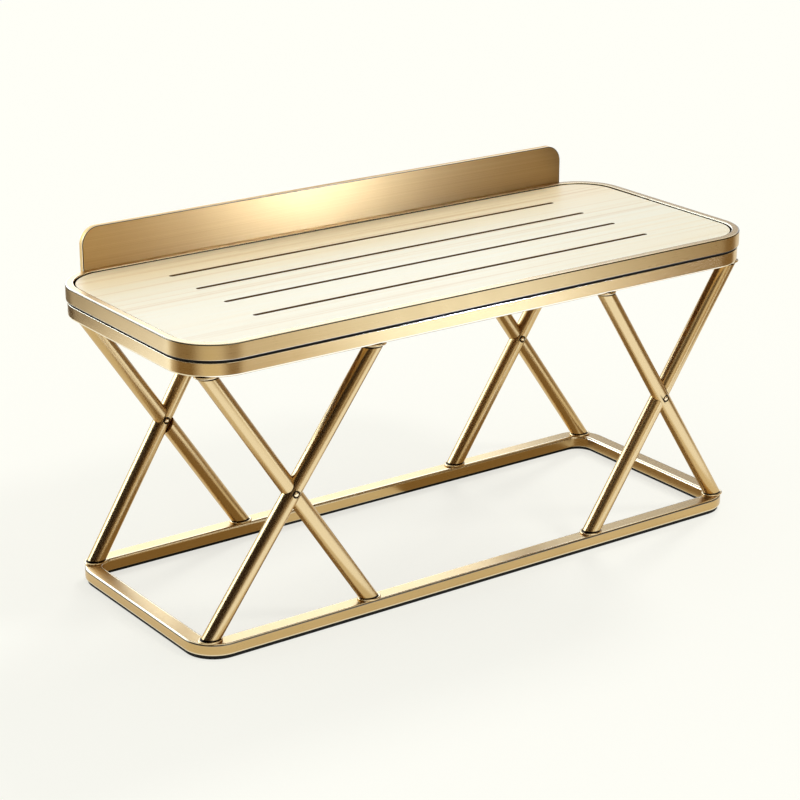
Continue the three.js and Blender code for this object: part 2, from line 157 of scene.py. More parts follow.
@dataclass(frozen=True)
class Value:
    """Number in a node tree, whose arithmetic adds Math nodes."""

    graph: Graph
    socket: bpy.types.NodeSocket

    def _math(self, operation: str, first: "Value | float", second: "Value | float" = 0.0) -> "Value":
        """Adds one Math node."""
        return self.graph.value("ShaderNodeMath", {"operation": operation}, {0: first, 1: second})

    def __add__(self, other: "Value | float") -> "Value":
        """Sum."""
        return self._math("ADD", self, other)

    def __radd__(self, other: float) -> "Value":
        """Sum with a plain number on the left."""
        return self._math("ADD", other, self)

    def __sub__(self, other: "Value | float") -> "Value":
        """Difference."""
        return self._math("SUBTRACT", self, other)

    def __rsub__(self, other: float) -> "Value":
        """Difference from a plain number."""
        return self._math("SUBTRACT", other, self)

    def __mul__(self, other: "Value | float") -> "Value":
        """Product."""
        return self._math("MULTIPLY", self, other)

    def __rmul__(self, other: float) -> "Value":
        """Product with a plain number on the left."""
        return self._math("MULTIPLY", other, self)

    def cosine(self) -> "Value":
        """Cosine of an angle."""
        return self._math("COSINE", self)

    def sine(self) -> "Value":
        """Sine of an angle."""
        return self._math("SINE", self)

    def larger(self, other: "Value") -> "Value":
        """The larger of two numbers."""
        return self._math("MAXIMUM", self, other)

    def step(self, low: float, high: float) -> "Value":
        """Smooth step from 0 at a low number to 1 at a high one."""
        sockets = {"Value": self, "From Min": low, "From Max": high}
        return self.graph.value("ShaderNodeMapRange", {"interpolation_type": "SMOOTHSTEP"}, sockets)


class SurfaceGraph(Graph):
    """Material under construction, with the patterns that the finishes share."""

    def __init__(self, name: str) -> None:
        """Starts an empty material."""
        self.material = bpy.data.materials.new(name)
        self.material.use_nodes = True
        super().__init__(self.material.node_tree)
        self.coordinates = self.node("ShaderNodeTexCoord")

    def stretched(self, source: str, scale: Triple) -> bpy.types.NodeSocket:
        """Coordinates of one kind, scaled along each axis."""
        sockets = {"Vector": self.coordinates.outputs[source], "Scale": scale}
        return self.node("ShaderNodeMapping", None, sockets).outputs[0]

    def noise(self, source: str, scale: Triple, detail: float = 2.0, distortion: float = 0.0) -> Value:
        """Noise about 0, mostly within a half either way.

        Args:
            source: Kind of coordinates, "UV" or "Object".
            scale: Waves per metre along each axis.
            detail: Octaves of finer noise on top.
            distortion: How far the noise is warped.

        Returns:
            The noise at each point.
        """
        sockets = {
            "Vector": self.stretched(source, scale),
            "Scale": 1.0,
            "Detail": detail,
            "Distortion": distortion,
        }
        return self.value("ShaderNodeTexNoise", None, sockets) - 0.5

    def attribute(self, name: str) -> Value:
        """Number that the mesh carries at each point."""
        return self.value("ShaderNodeAttribute", {"attribute_name": name}, None, output=2)

    def blend(self, factor: Value, first: Any, second: Any) -> bpy.types.NodeSocket:
        """Colour between two colours."""
        sockets = {0: factor, 6: opaque(first), 7: opaque(second)}
        settings = {"data_type": "RGBA", "clamp_factor": True}
        return self.node("ShaderNodeMix", settings, sockets).outputs[2]

    def bump(self, height: Value, depth: float) -> bpy.types.NodeSocket:
        """Normal of a surface raised by a height that spans about one, to a depth in metres."""
        return self.node("ShaderNodeBump", None, {"Height": height, "Distance": depth}).outputs[0]

    def principled(self, sockets: dict[int | str, Any]) -> bpy.types.Material:
        """Ends the material in one principled shader."""
        shader = self.node("ShaderNodeBsdfPrincipled", None, sockets)
        self.node("ShaderNodeOutputMaterial", None, {"Surface": shader.outputs[0]})
        return self.material


def opaque(colour: Any) -> Any:
    """A plain colour with its alpha, or a socket as it is."""
    return (*colour, 1.0) if isinstance(colour, tuple) else colour


@dataclass(frozen=True)
class BrushedBrass:
    """Satin champagne brass, brushed along one direction of the piece's UV map."""

    name: str
    bright: Triple = (0.74, 0.53, 0.26)
    deep: Triple = (0.50, 0.32, 0.11)
    roughness: float = 0.29
    brushing: Brushing = Brushing.ALONG_U
    streaks: float = 0.28
    anisotropy: float = 0.0
    polish_gain: float = 0.1
    wear: float = 1.0
    scratch_depth: float = 0.000006
    # Paler colour of the rounded edges: rubbed metal, and partly a painted highlight of light catching the
    # edges.
    edge: Triple = (0.93, 0.82, 0.60)
    # Near-black colour of the painted shade.
    painted_shade_colour: Triple = (0.012, 0.007, 0.003)

    def material(self) -> bpy.types.Material:
        """Builds the finish: brushed streaks, slow clouds, handling marks, rubbed edges that are also painted
        paler as a highlight, and painted shade.
        """
        graph = SurfaceGraph(self.name)
        hair = graph.noise("UV", self.brushing.stretch(5.0, 2600.0), detail=1.0)
        streak = graph.noise("UV", self.brushing.stretch(1.6, 640.0), detail=1.0)
        cloud = graph.noise("Object", (7.0, 7.0, 7.0), detail=3.0)
        touch = graph.noise("Object", (38.0, 38.0, 38.0), detail=4.0, distortion=0.4)
        polish = graph.attribute(POLISH_AND_HIGHLIGHT_LAYER)
        tone = 0.5 + streak * self.streaks + hair * (0.4 * self.streaks) + cloud * (0.3 * self.wear)
        marks = hair * 0.04 + streak * 0.05 + touch * 0.06
        roughness = self.roughness + marks * self.wear - polish * self.polish_gain
        colour = graph.blend(polish * 0.8, graph.blend(tone, self.deep, self.bright), self.edge)
        return graph.principled({
            # Painted shade darkens the base colour where the mesh carries it.
            "Base Color": graph.blend(graph.attribute(PAINTED_SHADE_LAYER), colour, self.painted_shade_colour),
            "Metallic": 1.0,
            "Roughness": roughness,
            "Anisotropic": self.anisotropy,
            "Anisotropic Rotation": 0.25,
            "Normal": graph.bump(hair + streak, self.scratch_depth),
        })


@dataclass(frozen=True)
class TurnedBrass:
    """Brighter brass of the small turned fittings."""

    name: str = "turned_brass"
    bright: Triple = (0.90, 0.71, 0.42)
    deep: Triple = (0.62, 0.43, 0.20)
    roughness: float = 0.15

    def material(self) -> bpy.types.Material:
        """Builds the finish: fine mottling and dulled patches."""
        graph = SurfaceGraph(self.name)
        mottle = graph.noise("Object", (90.0, 90.0, 90.0), detail=4.0)
        grain = graph.noise("Object", (900.0, 900.0, 900.0), detail=2.0)
        return graph.principled({
            "Base Color": graph.blend(0.6 + mottle * 0.8, self.deep, self.bright),
            "Metallic": 1.0,
            "Roughness": self.roughness + mottle * 0.16 + grain * 0.08,
            "Normal": graph.bump(grain, 0.000008),
        })


@dataclass(frozen=True)
class PaleTimber:
    """Pale close-grained timber, its grain along X, under a thin satin lacquer."""

    name: str = "pale_timber"
    light: Triple = (0.87, 0.83, 0.665)
    warm: Triple = (0.90, 0.73, 0.455)
    line: Triple = (0.62, 0.44, 0.24)
    # Dark brown colour of the painted shade in the grooves, on the board's sides and under it.
    stain: Triple = (0.15, 0.075, 0.028)
    roughness: float = 0.46
    coat: float = 0.22
    grain_depth: float = 0.00006

    def material(self) -> bpy.types.Material:
        """Builds the finish: broad bands, growth lines, fibres, short pores, painted shade that warms the rear
        by the back plate, and painted shade in the grooves and under the board.
        """
        graph = SurfaceGraph(self.name)
        band = graph.noise("Object", (0.9, 16.0, 16.0), detail=3.0)
        growth = graph.noise("Object", (0.8, 110.0, 110.0), detail=4.0, distortion=0.25)
        fibre = graph.noise("Object", (7.0, 620.0, 620.0), detail=3.0)
        pore = graph.noise("Object", (45.0, 1500.0, 1500.0), detail=1.0).step(0.16, 0.30)
        # Painted shade towards the rear by the back plate: the timber turns warmer and its lines stronger
        # there.
        places = {0: graph.coordinates.outputs["Object"]}
        rear_shade = graph.value("ShaderNodeSeparateXYZ", None, places, output=1).step(0.0, 0.18)
        tone = 0.2 + band * 0.6 + growth * 0.9 + fibre * 0.5 + rear_shade * 0.6
        lines = growth.step(0.03, 0.20) * (0.32 + rear_shade * 0.4) + pore * 0.4
        colour = graph.blend(tone, self.light, self.warm)
        stain = graph.attribute(PAINTED_SHADE_LAYER)
        return graph.principled({
            "Base Color": graph.blend(stain, graph.blend(lines, colour, self.line), self.stain),
            "Roughness": self.roughness + fibre * 0.16 + pore * 0.12 + stain * 0.4,
            "Coat Weight": self.coat * (1 - stain),
            "Coat Roughness": 0.3,
            "Specular IOR Level": 0.2,
            "Normal": graph.bump(fibre * 0.7 - pore, self.grain_depth),
        })


@dataclass(frozen=True)
class BlackRubber:
    """Black moulded rubber, slightly dusty."""

    name: str = "black_rubber"
    black: Triple = (0.004, 0.0036, 0.003)
    dusty: Triple = (0.014, 0.0125, 0.011)
    roughness: float = 0.72

    def material(self) -> bpy.types.Material:
        """Builds the finish: a pebbled skin with dust in patches."""
        graph = SurfaceGraph(self.name)
        dust = graph.noise("Object", (24.0, 24.0, 24.0), detail=5.0)
        skin = graph.noise("Object", (1400.0, 1400.0, 1400.0), detail=2.0)
        return graph.principled({
            "Base Color": graph.blend(0.4 + dust, self.black, self.dusty),
            "Roughness": self.roughness + dust * 0.2 + skin * 0.1,
            "Specular IOR Level": 0.25,
            "Normal": graph.bump(skin, 0.00003),
        })


@dataclass(frozen=True)
class ZincSteel:
    """Zinc-plated steel of the hidden screws."""

    name: str = "zinc_steel"
    bright: Triple = (0.66, 0.66, 0.64)
    dull: Triple = (0.42, 0.42, 0.41)
    roughness: float = 0.34

    def material(self) -> bpy.types.Material:
        """Builds the finish: plated spangle with dull patches."""
        graph = SurfaceGraph(self.name)
        spangle = graph.noise("Object", (260.0, 260.0, 260.0), detail=3.0)
        patch = graph.noise("Object", (40.0, 40.0, 40.0), detail=3.0)
        return graph.principled({
            "Base Color": graph.blend(0.55 + spangle * 0.7 + patch * 0.5, self.dull, self.bright),
            "Metallic": 1.0,
            "Roughness": self.roughness + patch * 0.2 + spangle * 0.1,
            "Normal": graph.bump(spangle, 0.00001),
        })


@dataclass(frozen=True)
class Corner:
    """Corner of a flat outline, with the radius that rounds it."""

    x: float
    y: float
    radius: float = 0.0


def unit(vector: np.ndarray) -> np.ndarray:
    """A direction of length one."""
    return vector / np.linalg.norm(vector)


def rounded(corners: Sequence[Corner], steps: int, support: float,
            closed: bool = True) -> tuple[np.ndarray, np.ndarray]:
    """Rounds the corners of an outline and keeps the runs between them flat.

    Args:
        corners: Corners in order.
        steps: Facets of each rounded corner.
        support: Distance from a rounded corner to the extra point that keeps its run flat.
        closed: Whether the last corner joins the first; otherwise the end corners stay sharp.

    Returns:
        The points, and the rubbed edge with its painted highlight for each: 1 on a rounded corner and 0 on a
        flat run.
    """
    places = np.array([(corner.x, corner.y) for corner in corners])
    count = len(corners)
    backs = [unit(places[index - 1] - places[index]) for index in range(count)]
    aheads = [unit(places[(index + 1) % count] - places[index]) for index in range(count)]
    halves = [math.acos(np.clip(np.dot(*pair), -1, 1)) / 2 for pair in zip(backs, aheads)]
    reaches = [corner.radius / math.tan(half) for corner, half in zip(corners, halves)]
    spans = np.linalg.norm(np.roll(places, -1, axis=0) - places, axis=1)
    runs = spans - reaches - np.roll(reaches, -1)

    points: list[np.ndarray] = []
    polish: list[float] = []
    for index, corner in enumerate(corners):
        here = places[index]
        if corner.radius == 0:
            points.append(here)
            polish.append(0.0)
            continue
        back, ahead, half, reach = backs[index], aheads[index], halves[index], reaches[index]
        centre = here + unit(back + ahead) * corner.radius / math.sin(half)
        start = here + back * reach - centre
        end = here + ahead * reach - centre
        turn = math.atan2(start[0] * end[1] - start[1] * end[0], np.dot(start, end))
        angles = np.linspace(0, turn, steps + 1)
        arc = centre + np.outer(np.cos(angles), start) + np.outer(np.sin(angles), (-start[1], start[0]))
        has_run_before = runs[index - 1] > TINY
        if has_run_before:
            points.append(here + back * (reach + min(support, runs[index - 1] / 3)))
            polish.append(0.0)
        kept = arc if has_run_before else arc[1:]
        points.extend(kept)
        polish.extend([1.0] * len(kept))
        if runs[index] > TINY:
            points.append(here + ahead * (reach + min(support, runs[index] / 3)))
            polish.append(0.0)
    return np.array(points), np.array(polish)


def run_lengths(points: np.ndarray) -> np.ndarray:
    """Length along a closed run of points up to each point, and all round at the end."""
    steps = np.linalg.norm(np.roll(points, -1, axis=0) - points, axis=1)
    return np.concatenate(([0.0], np.cumsum(steps)))


def pitched(count: int, pitch: float) -> np.ndarray:
    """Evenly pitched places, centred on zero."""
    return (np.arange(count) - (count - 1) / 2) * pitch


@dataclass(frozen=True)
class Outline:
    """Rounded rectangle seen from above, with its seam in the middle of the rear side."""

    low: Vector
    high: Vector
    radius: float

    @classmethod
    def around(cls, node: str, radius: float) -> "Outline":
        """Outline of a CAD node."""
        return cls(*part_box(node), radius)

    def drawn_in(self, inset: float) -> np.ndarray:
        """Points of the outline drawn in by an inset."""
        left, right = self.low.x + inset, self.high.x - inset
        front, rear = self.low.y + inset, self.high.y - inset
        radius = self.radius - inset
        corners = [
            Corner((left + right) / 2, rear),
            Corner(left, rear, radius),
            Corner(left, front, radius),
            Corner(right, front, radius),
            Corner(right, rear, radius),
        ]
        return rounded(corners, CORNER_STEPS, SIDE_SUPPORT)[0]

    def loop(self, inset: float, height: float) -> np.ndarray:
        """Points of the outline drawn in by an inset, at a height."""
        flat = self.drawn_in(inset)
        return np.column_stack((flat, np.full(len(flat), height)))


def new_object(name: str, mesh: bpy.types.Mesh) -> bpy.types.Object:
    """Object of the scene that holds a mesh."""
    made = bpy.data.objects.new(name, mesh)
    bpy.context.scene.collection.objects.link(made)
    return made


class Draft:
    """Mesh of a piece while it is shaped: points, faces, brushing lengths, edge polish with its painted
    highlight, and painted shade.
    """

    def __init__(self) -> None:
        """Starts with nothing."""
        self.points: list[Sequence[float]] = []
        self.polish: list[float] = []
        self.stain: list[float] = []
        self.faces: list[list[int]] = []
        self.lengths: list[list[tuple[float, float]]] = []

    def add_skin(self, grid: np.ndarray, polish: np.ndarray, closed: bool,
                 stain: np.ndarray | None = None) -> np.ndarray:
        """Adds loops of points with a skin of quads between them.

        Args:
            grid: Points by loop, each loop closed on itself.
            polish: Polish of each loop, which also paints an edge highlight.
            closed: Whether the last loop joins the first.
            stain: Painted shade of each loop, none if left out.

        Returns:
            Indices of the points, by loop.
        """
        rows, columns = grid.shape[:2]
        first = len(self.points)
        around = run_lengths(grid[0])
        across = run_lengths(grid[:, 0])
        self.points.extend(grid.reshape(-1, 3).tolist())
        self.polish.extend(np.repeat(polish, columns).tolist())
        self.stain.extend(np.repeat(np.zeros(rows) if stain is None else stain, columns).tolist())
        indices = first + np.arange(rows * columns).reshape(rows, columns)
        for row in range(rows if closed else rows - 1):
            below = (row + 1) % rows
            for column in range(columns):
                after = (column + 1) % columns
                corners = ((row, column), (row, after), (below, after), (below, column))
                self.faces.append([int(indices[corner]) for corner in corners])
                near, far = around[column], around[column + 1]
                top, bottom = across[row], across[row + 1]
                self.lengths.append([(near, top), (far, top), (far, bottom), (near, bottom)])
        return indices

    def add_cap(self, loop: np.ndarray, axes: tuple[int, int] = (0, 1)) -> None:
        """Closes a loop with one flat face.

        Args:
            loop: Indices of the loop's points.
            axes: The two axes that the face's brushing lengths are measured along.
        """
        self.faces.append(loop.tolist())
        self.lengths.append([(self.points[i][axes[0]], self.points[i][axes[1]]) for i in loop])

    def piece(self, name: str) -> bpy.types.Object:
        """Turns the draft into a smooth closed piece.

        Args:
            name: Name of the piece.

        Returns:
            The piece, with flat openings filled and its faces pointing outwards.
        """
        mesh = bpy.data.meshes.new(name)
        mesh.from_pydata(self.points, [], self.faces)
        layer = mesh.uv_layers.new(name=BRUSHING_LAYER)
        layer.data.foreach_set("uv", [length for face in self.lengths for pair in face for length in pair])
        for name_of_layer, amounts in ((POLISH_AND_HIGHLIGHT_LAYER, self.polish), (PAINTED_SHADE_LAYER, self.stain)):
            mesh.attributes.new(name_of_layer, "FLOAT", "POINT").data.foreach_set("value", amounts)
        form = bmesh.new()
        form.from_mesh(mesh)
        rims = [edge for edge in form.edges if edge.is_boundary]
        if rims:
            bmesh.ops.triangle_fill(form, use_beauty=True, edges=rims)
        bmesh.ops.recalc_face_normals(form, faces=form.faces)
        form.to_mesh(mesh)
        form.free()
        mesh.shade_smooth()
        return new_object(name, mesh)


@dataclass(frozen=True)
class Patch:
    """Part of a section with painted shade, between two insets and two heights."""

    insets: tuple[float, float]
    heights: tuple[float, float]
    strength: float = 1.0

    def stain(self, profile: np.ndarray) -> np.ndarray:
        """Painted shade of each point of a section."""
        low = np.array((self.insets[0], self.heights[0])) - TINY
        high = np.array((self.insets[1], self.heights[1])) + TINY
        return self.strength * np.all((profile > low) & (profile < high), axis=1)


def swept_ring(name: str, outline: Outline, section: Sequence[Corner],
               patches: Sequence[Patch] = ()) -> bpy.types.Object:
    """Piece whose section follows an outline.

    Args:
        name: Name of the piece.
        outline: Outer outline of the ring.
        section: Corners of the section, as insets from the outline and heights.
        patches: Parts of the section with painted shade.

    Returns:
        The piece.
    """
    profile, polish = rounded(section, EDGE_STEPS, EDGE_SUPPORT)
    stain = sum((patch.stain(profile) for patch in patches), np.zeros(len(profile)))
    draft = Draft()
    draft.add_skin(np.array([outline.loop(*point) for point in profile]), polish, True, stain)
    return draft.piece(name)


def round_bar(name: str, start: Vector, end: Vector, radius: float) -> bpy.types.Object:
    """Round bar between two points.

    Args:
        name: Name of the bar.
        start: Middle of its first end.
        end: Middle of its last end.
        radius: Radius of the bar.

    Returns:
        The bar.
    """
    turn = (end - start).to_track_quat("Z", "Y").to_matrix()
    angles = np.linspace(0, 2 * math.pi, BORE_STEPS, endpoint=False)
    circle = [turn @ Vector((radius * math.cos(angle), radius * math.sin(angle), 0)) for angle in angles]
    draft = Draft()
    ends = [[end_point + spoke for spoke in circle] for end_point in (start, end)]
    for loop in draft.add_skin(np.array(ends), np.zeros(2), closed=False):
        draft.add_cap(loop)
    return draft.piece(name)


def settle(piece: bpy.types.Object) -> None:
    """Turns a piece and its modifiers into one plain mesh."""
    graph = bpy.context.evaluated_depsgraph_get()
    shaped = bpy.data.meshes.new_from_object(piece.evaluated_get(graph), preserve_all_data_layers=True,
                                             depsgraph=graph)
    rough = piece.data
    piece.modifiers.clear()
    piece.data = shaped
    shaped.name = piece.name
    bpy.data.meshes.remove(rough)


def sharpen(piece: bpy.types.Object) -> None:
    """Shades a piece smooth apart from its sharp edges."""
    piece.data.shade_smooth()
    piece.data.set_sharp_from_angle(angle=SMOOTH_ANGLE)


def cut(piece: bpy.types.Object, cutters: Iterable[bpy.types.Object]) -> None:
    """Cuts shapes out of a piece and removes them.

    Args:
        piece: Piece to cut.
        cutters: Closed shapes to take away.
    """
    used = list(cutters)
    for cutter in used:
        modifier = piece.modifiers.new(cutter.name, "BOOLEAN")
        modifier.operation = "DIFFERENCE"
        modifier.solver = "EXACT"
        modifier.object = cutter
    settle(piece)
    sharpen(piece)
    for cutter in used:
        bpy.data.meshes.remove(cutter.data)


def dress(piece: bpy.types.Object, material: bpy.types.Material, nodes: Sequence[str]) -> None:
    """Gives a piece its finish and joins it to the frame.

    Args:
        piece: Finished piece.
        material: Its finish.
        nodes: CAD nodes that the piece stands for.
    """
    piece.data.materials.clear()
    piece.data.materials.append(material)
    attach(piece, BODY)
    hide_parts(*nodes)
    LOG.info("%s stands for %s", piece.name, ", ".join(nodes))


@dataclass
class Tray:
    """Brass rim with a ledge, and the grooved timber panel that lies in it."""

    corner_radius: float = 0.076
    rim_width: float = 0.012
    rim_edge: float = 0.0020
    inner_edge: float = 0.0006
    lip_edge: float = 0.0015
    ledge_reach: float = 0.028
    ledge_thickness: float = 0.003
    panel_edge: float = 0.0007
    groove_count: int = 4
    groove_pitch: float = 0.075
    groove_width: float = 0.0074
    groove_depth: float = 0.007
    groove_margin: float = 0.134
    groove_edge: float = 0.0003

    def build(self, brass: bpy.types.Material, timber: bpy.types.Material) -> None:
        """Makes and dresses the rim and the panel."""
        dress(self.rim(), brass, ["tray_rim"])
        dress(self.panel(), timber, ["wood_panel"])

    def rim(self) -> bpy.types.Object:
        """Upright wall with a ledge under the panel, painted with shade in the gap by the panel and in dark
        lines along its outer edges.
        """
        outline = Outline.around("tray_rim", self.corner_radius)
        low, high = outline.low.z, outline.high.z
        ledge = low + self.ledge_thickness
        section = [
            Corner(0, low, self.rim_edge),
            Corner(0, high, self.rim_edge),
            Corner(self.rim_width, high, self.lip_edge),
            Corner(self.rim_width, ledge, self.inner_edge),
            Corner(self.ledge_reach, ledge, self.inner_edge),
            Corner(self.ledge_reach, low, self.inner_edge),
        ]
        patches = [
            # Painted shade on the inner wall and ledge, where the gap by the panel falls dark.
            Patch((self.rim_width, self.ledge_reach), (low, high - self.lip_edge)),
            # Painted dark line under the top outer edge, standing in for a dark reflection.
            Patch((0, self.rim_edge / 3), (high - self.rim_edge, high - self.rim_edge / 4), 0.85),
            # Painted shade along the bottom outer edge, which thickens the shadow line under the tray.
            Patch((0, self.rim_edge), (low, low + self.rim_edge * 0.8)),
        ]
        return swept_ring("rim_band", outline, section, patches)

    def panel(self) -> bpy.types.Object:
        """Rounded board with eased edges and long round-ended grooves, its sides and underside painted with
        shade.
        """
        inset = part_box("wood_panel")[0].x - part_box("tray_rim")[0].x
        outline = Outline.around("wood_panel", self.corner_radius - inset)
        low, high = outline.low.z, outline.high.z
        lap = 3 * self.panel_edge
        side = [
            Corner(lap, low),
            Corner(0, low, self.panel_edge),
            Corner(0, high, self.panel_edge),
            Corner(lap, high),
        ]
        profile, polish = rounded(side, EDGE_STEPS, EDGE_SUPPORT, closed=False)
        draft = Draft()
        heights = profile[:, 1]
        # Painted shade on the board's sides and underside, below the eased top edge.
        stain = np.where(heights < high - self.panel_edge / 2, 1.0, 0.0)
        loops = draft.add_skin(np.array([outline.loop(*point) for point in profile]), polish, False, stain)
        draft.add_cap(loops[0])
        for y in pitched(self.groove_count, self.groove_pitch):
            self.add_groove(draft, outline, y + (outline.low.y + outline.high.y) / 2)
        return draft.piece("panel_board")

    def add_groove(self, draft: Draft, panel: Outline, y: float) -> None:
        """Adds the eased edge, walls and floor of one groove, with painted shade on the walls and floor.

        Args:
            draft: Draft of the panel.
            panel: Outline of the panel.
            y: Depth of the groove's middle line.
        """
        half = self.groove_width / 2
        low = Vector((panel.low.x + self.groove_margin, y - half, 0))
        high = Vector((panel.high.x - self.groove_margin, y + half, 0))
        groove = Outline(low, high, half)
        top = panel.high.z
        floor = top - self.groove_depth
        side = [
            Corner(-3 * self.groove_edge, top),
            Corner(0, top, self.groove_edge),
            Corner(0, floor, self.groove_edge),
            Corner(half / 2, floor),
        ]
        profile, polish = rounded(side, EDGE_STEPS, EDGE_SUPPORT, closed=False)
        # Painted shade inside the groove, below its eased edge.
        stain = np.where(profile[:, 1] < top - self.groove_edge / 2, 1.0, 0.0)
        loops = draft.add_skin(np.array([groove.loop(*point) for point in profile]), polish, False, stain)
        draft.add_cap(loops[-1])


@dataclass
class TopFrame:
    """Channel ring under the tray, the black spacer on it and the cross bearers in it."""

    corner_radius: float = 0.074
    rail_width: float = 0.026
    wall: float = 0.003
    lower_edge: float = 0.0028
    upper_edge: float = 0.0006
    bearer_wall: float = 0.0025
    bearer_edge: float = 0.0008
    bearer_count: int = 3

    def build(self, brass: bpy.types.Material, rubber: bpy.types.Material) -> None:
        """Makes and dresses the ring, the spacer and the bearers."""
        dress(self.ring(), brass, ["top_frame"])
        dress(self.spacer(), rubber, ["shadow_spacer"])
        for number in range(1, self.bearer_count + 1):
            dress(self.bearer(number), brass, [f"cross_bearer_{number}"])

    def ring(self) -> bpy.types.Object:
        """Channel ring open upwards, with round lower edges."""
        outline = Outline.around("top_frame", self.corner_radius)
        low, high = outline.low.z, outline.high.z
        inner = self.rail_width - self.wall
        floor = low + self.wall
        section = [
            Corner(0, low, self.lower_edge),
            Corner(0, high, self.upper_edge),
            Corner(self.wall, high, self.upper_edge),
            Corner(self.wall, floor, self.upper_edge),
            Corner(inner, floor, self.upper_edge),
            Corner(inner, high, self.upper_edge),
            Corner(self.rail_width, high, self.upper_edge),
            Corner(self.rail_width, low, self.lower_edge),
        ]
        return swept_ring("frame_band", outline, section)

    def spacer(self) -> bpy.types.Object:
        """Black strip that leaves the shadow line under the tray."""
        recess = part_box("shadow_spacer")[0].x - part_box("top_frame")[0].x
        outline = Outline.around("shadow_spacer", self.corner_radius - recess)
        width = self.rail_width - recess
        edge = self.upper_edge / 2
        section = [
            Corner(0, outline.low.z, edge),
            Corner(0, outline.high.z, edge),
            Corner(width, outline.high.z, edge),
            Corner(width, outline.low.z, edge),
        ]
        return swept_ring("spacer_band", outline, section)

    def bearer(self, number: int) -> bpy.types.Object:
        """Channel open downwards between the long rails.

        Args:
            number: Number of the bearer, from the left.

        Returns:
            The bearer.
        """
        low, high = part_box(f"cross_bearer_{number}")
        wall, edge = self.bearer_wall, self.bearer_edge
        profile = [
            Corner(low.x, low.z, edge),
            Corner(low.x + wall, low.z, edge),
            Corner(low.x + wall, high.z - wall, edge),
            Corner(high.x - wall, high.z - wall, edge),
            Corner(high.x - wall, low.z, edge),
            Corner(high.x, low.z, edge),
            Corner(high.x, high.z, 2 * edge),
            Corner(low.x, high.z, 2 * edge),
        ]
        section, _ = rounded(profile, EDGE_STEPS, EDGE_SUPPORT)
        draft = Draft()
        ends = np.array([[(x, y, z) for x, z in section] for y in (low.y, high.y)])
        loops = draft.add_skin(ends, np.zeros(2), closed=False)
        for loop in loops:
            draft.add_cap(loop, axes=(1, 2))
        piece = draft.piece(f"bearer_channel_{number}")
        sharpen(piece)
        return piece


@dataclass
class BackPlate:
    """Upright brushed plate along the rear of the tray, counterbored from behind."""

    corner_radius: float = 0.027
    heel_radius: float = 0.002
    edge: float = 0.0011
    counterbore_radius: float = 0.00455
    counterbore_depth: float = 0.0033
    screw_count: int = 4

    def build(self, brass: bpy.types.Material) -> None:
        """Makes and dresses the plate."""
        piece = self.plate()
        cut(piece, [self.counterbore(number) for number in range(1, self.screw_count + 1)])
        dress(piece, brass, ["back_plate"])

    def outline(self, inset: float) -> np.ndarray:
        """Points of the plate's face drawn in by an inset, as lengths and heights."""
        low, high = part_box("back_plate")
        left, right = low.x + inset, high.x - inset
        bottom, top = low.z + inset, high.z - inset
        heel = self.heel_radius - inset * self.heel_radius / self.corner_radius
        corners = [
            Corner(left, bottom, heel),
            Corner(right, bottom, heel),
            Corner(right, top, self.corner_radius - inset),
            Corner(left, top, self.corner_radius - inset),
        ]
        return rounded(corners, CORNER_STEPS, SIDE_SUPPORT)[0]

    def plate(self) -> bpy.types.Object:
        """Plate with its two top corners round and all its edges eased, and a painted dark line where the front
        face meets its edge.
        """
        low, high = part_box("back_plate")
        lap = 2 * self.edge
        across = [
            Corner(lap, low.y),
            Corner(0, low.y, self.edge),
            Corner(0, high.y, self.edge),
            Corner(lap, high.y),
        ]
        profile, polish = rounded(across, EDGE_STEPS, EDGE_SUPPORT, closed=False)
        draft = Draft()
        grid = [[(x, y, z) for x, z in self.outline(inset)] for inset, y in profile]
        # Painted dark line along the front face's edge, standing in for a dark reflection.
        line = Patch((self.edge / 4, self.edge), (low.y, low.y + self.edge / 2))
        loops = draft.add_skin(np.array(grid), polish, False, line.stain(profile))
        draft.add_cap(loops[0], axes=(0, 2))
        draft.add_cap(loops[-1], axes=(0, 2))
        return draft.piece("plate_upright")

    def counterbore(self, number: int) -> bpy.types.Object:
        """Room for one screw's head, from behind."""
        low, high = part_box(f"plate_screw_{number}")
        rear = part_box("back_plate")[1].y
        middle = (low + high) / 2
        seat = Vector((middle.x, rear - self.counterbore_depth, middle.z))
        outside = Vector((middle.x, rear + self.counterbore_depth, middle.z))
        return round_bar(f"counterbore_{number}", seat, outside, self.counterbore_radius)


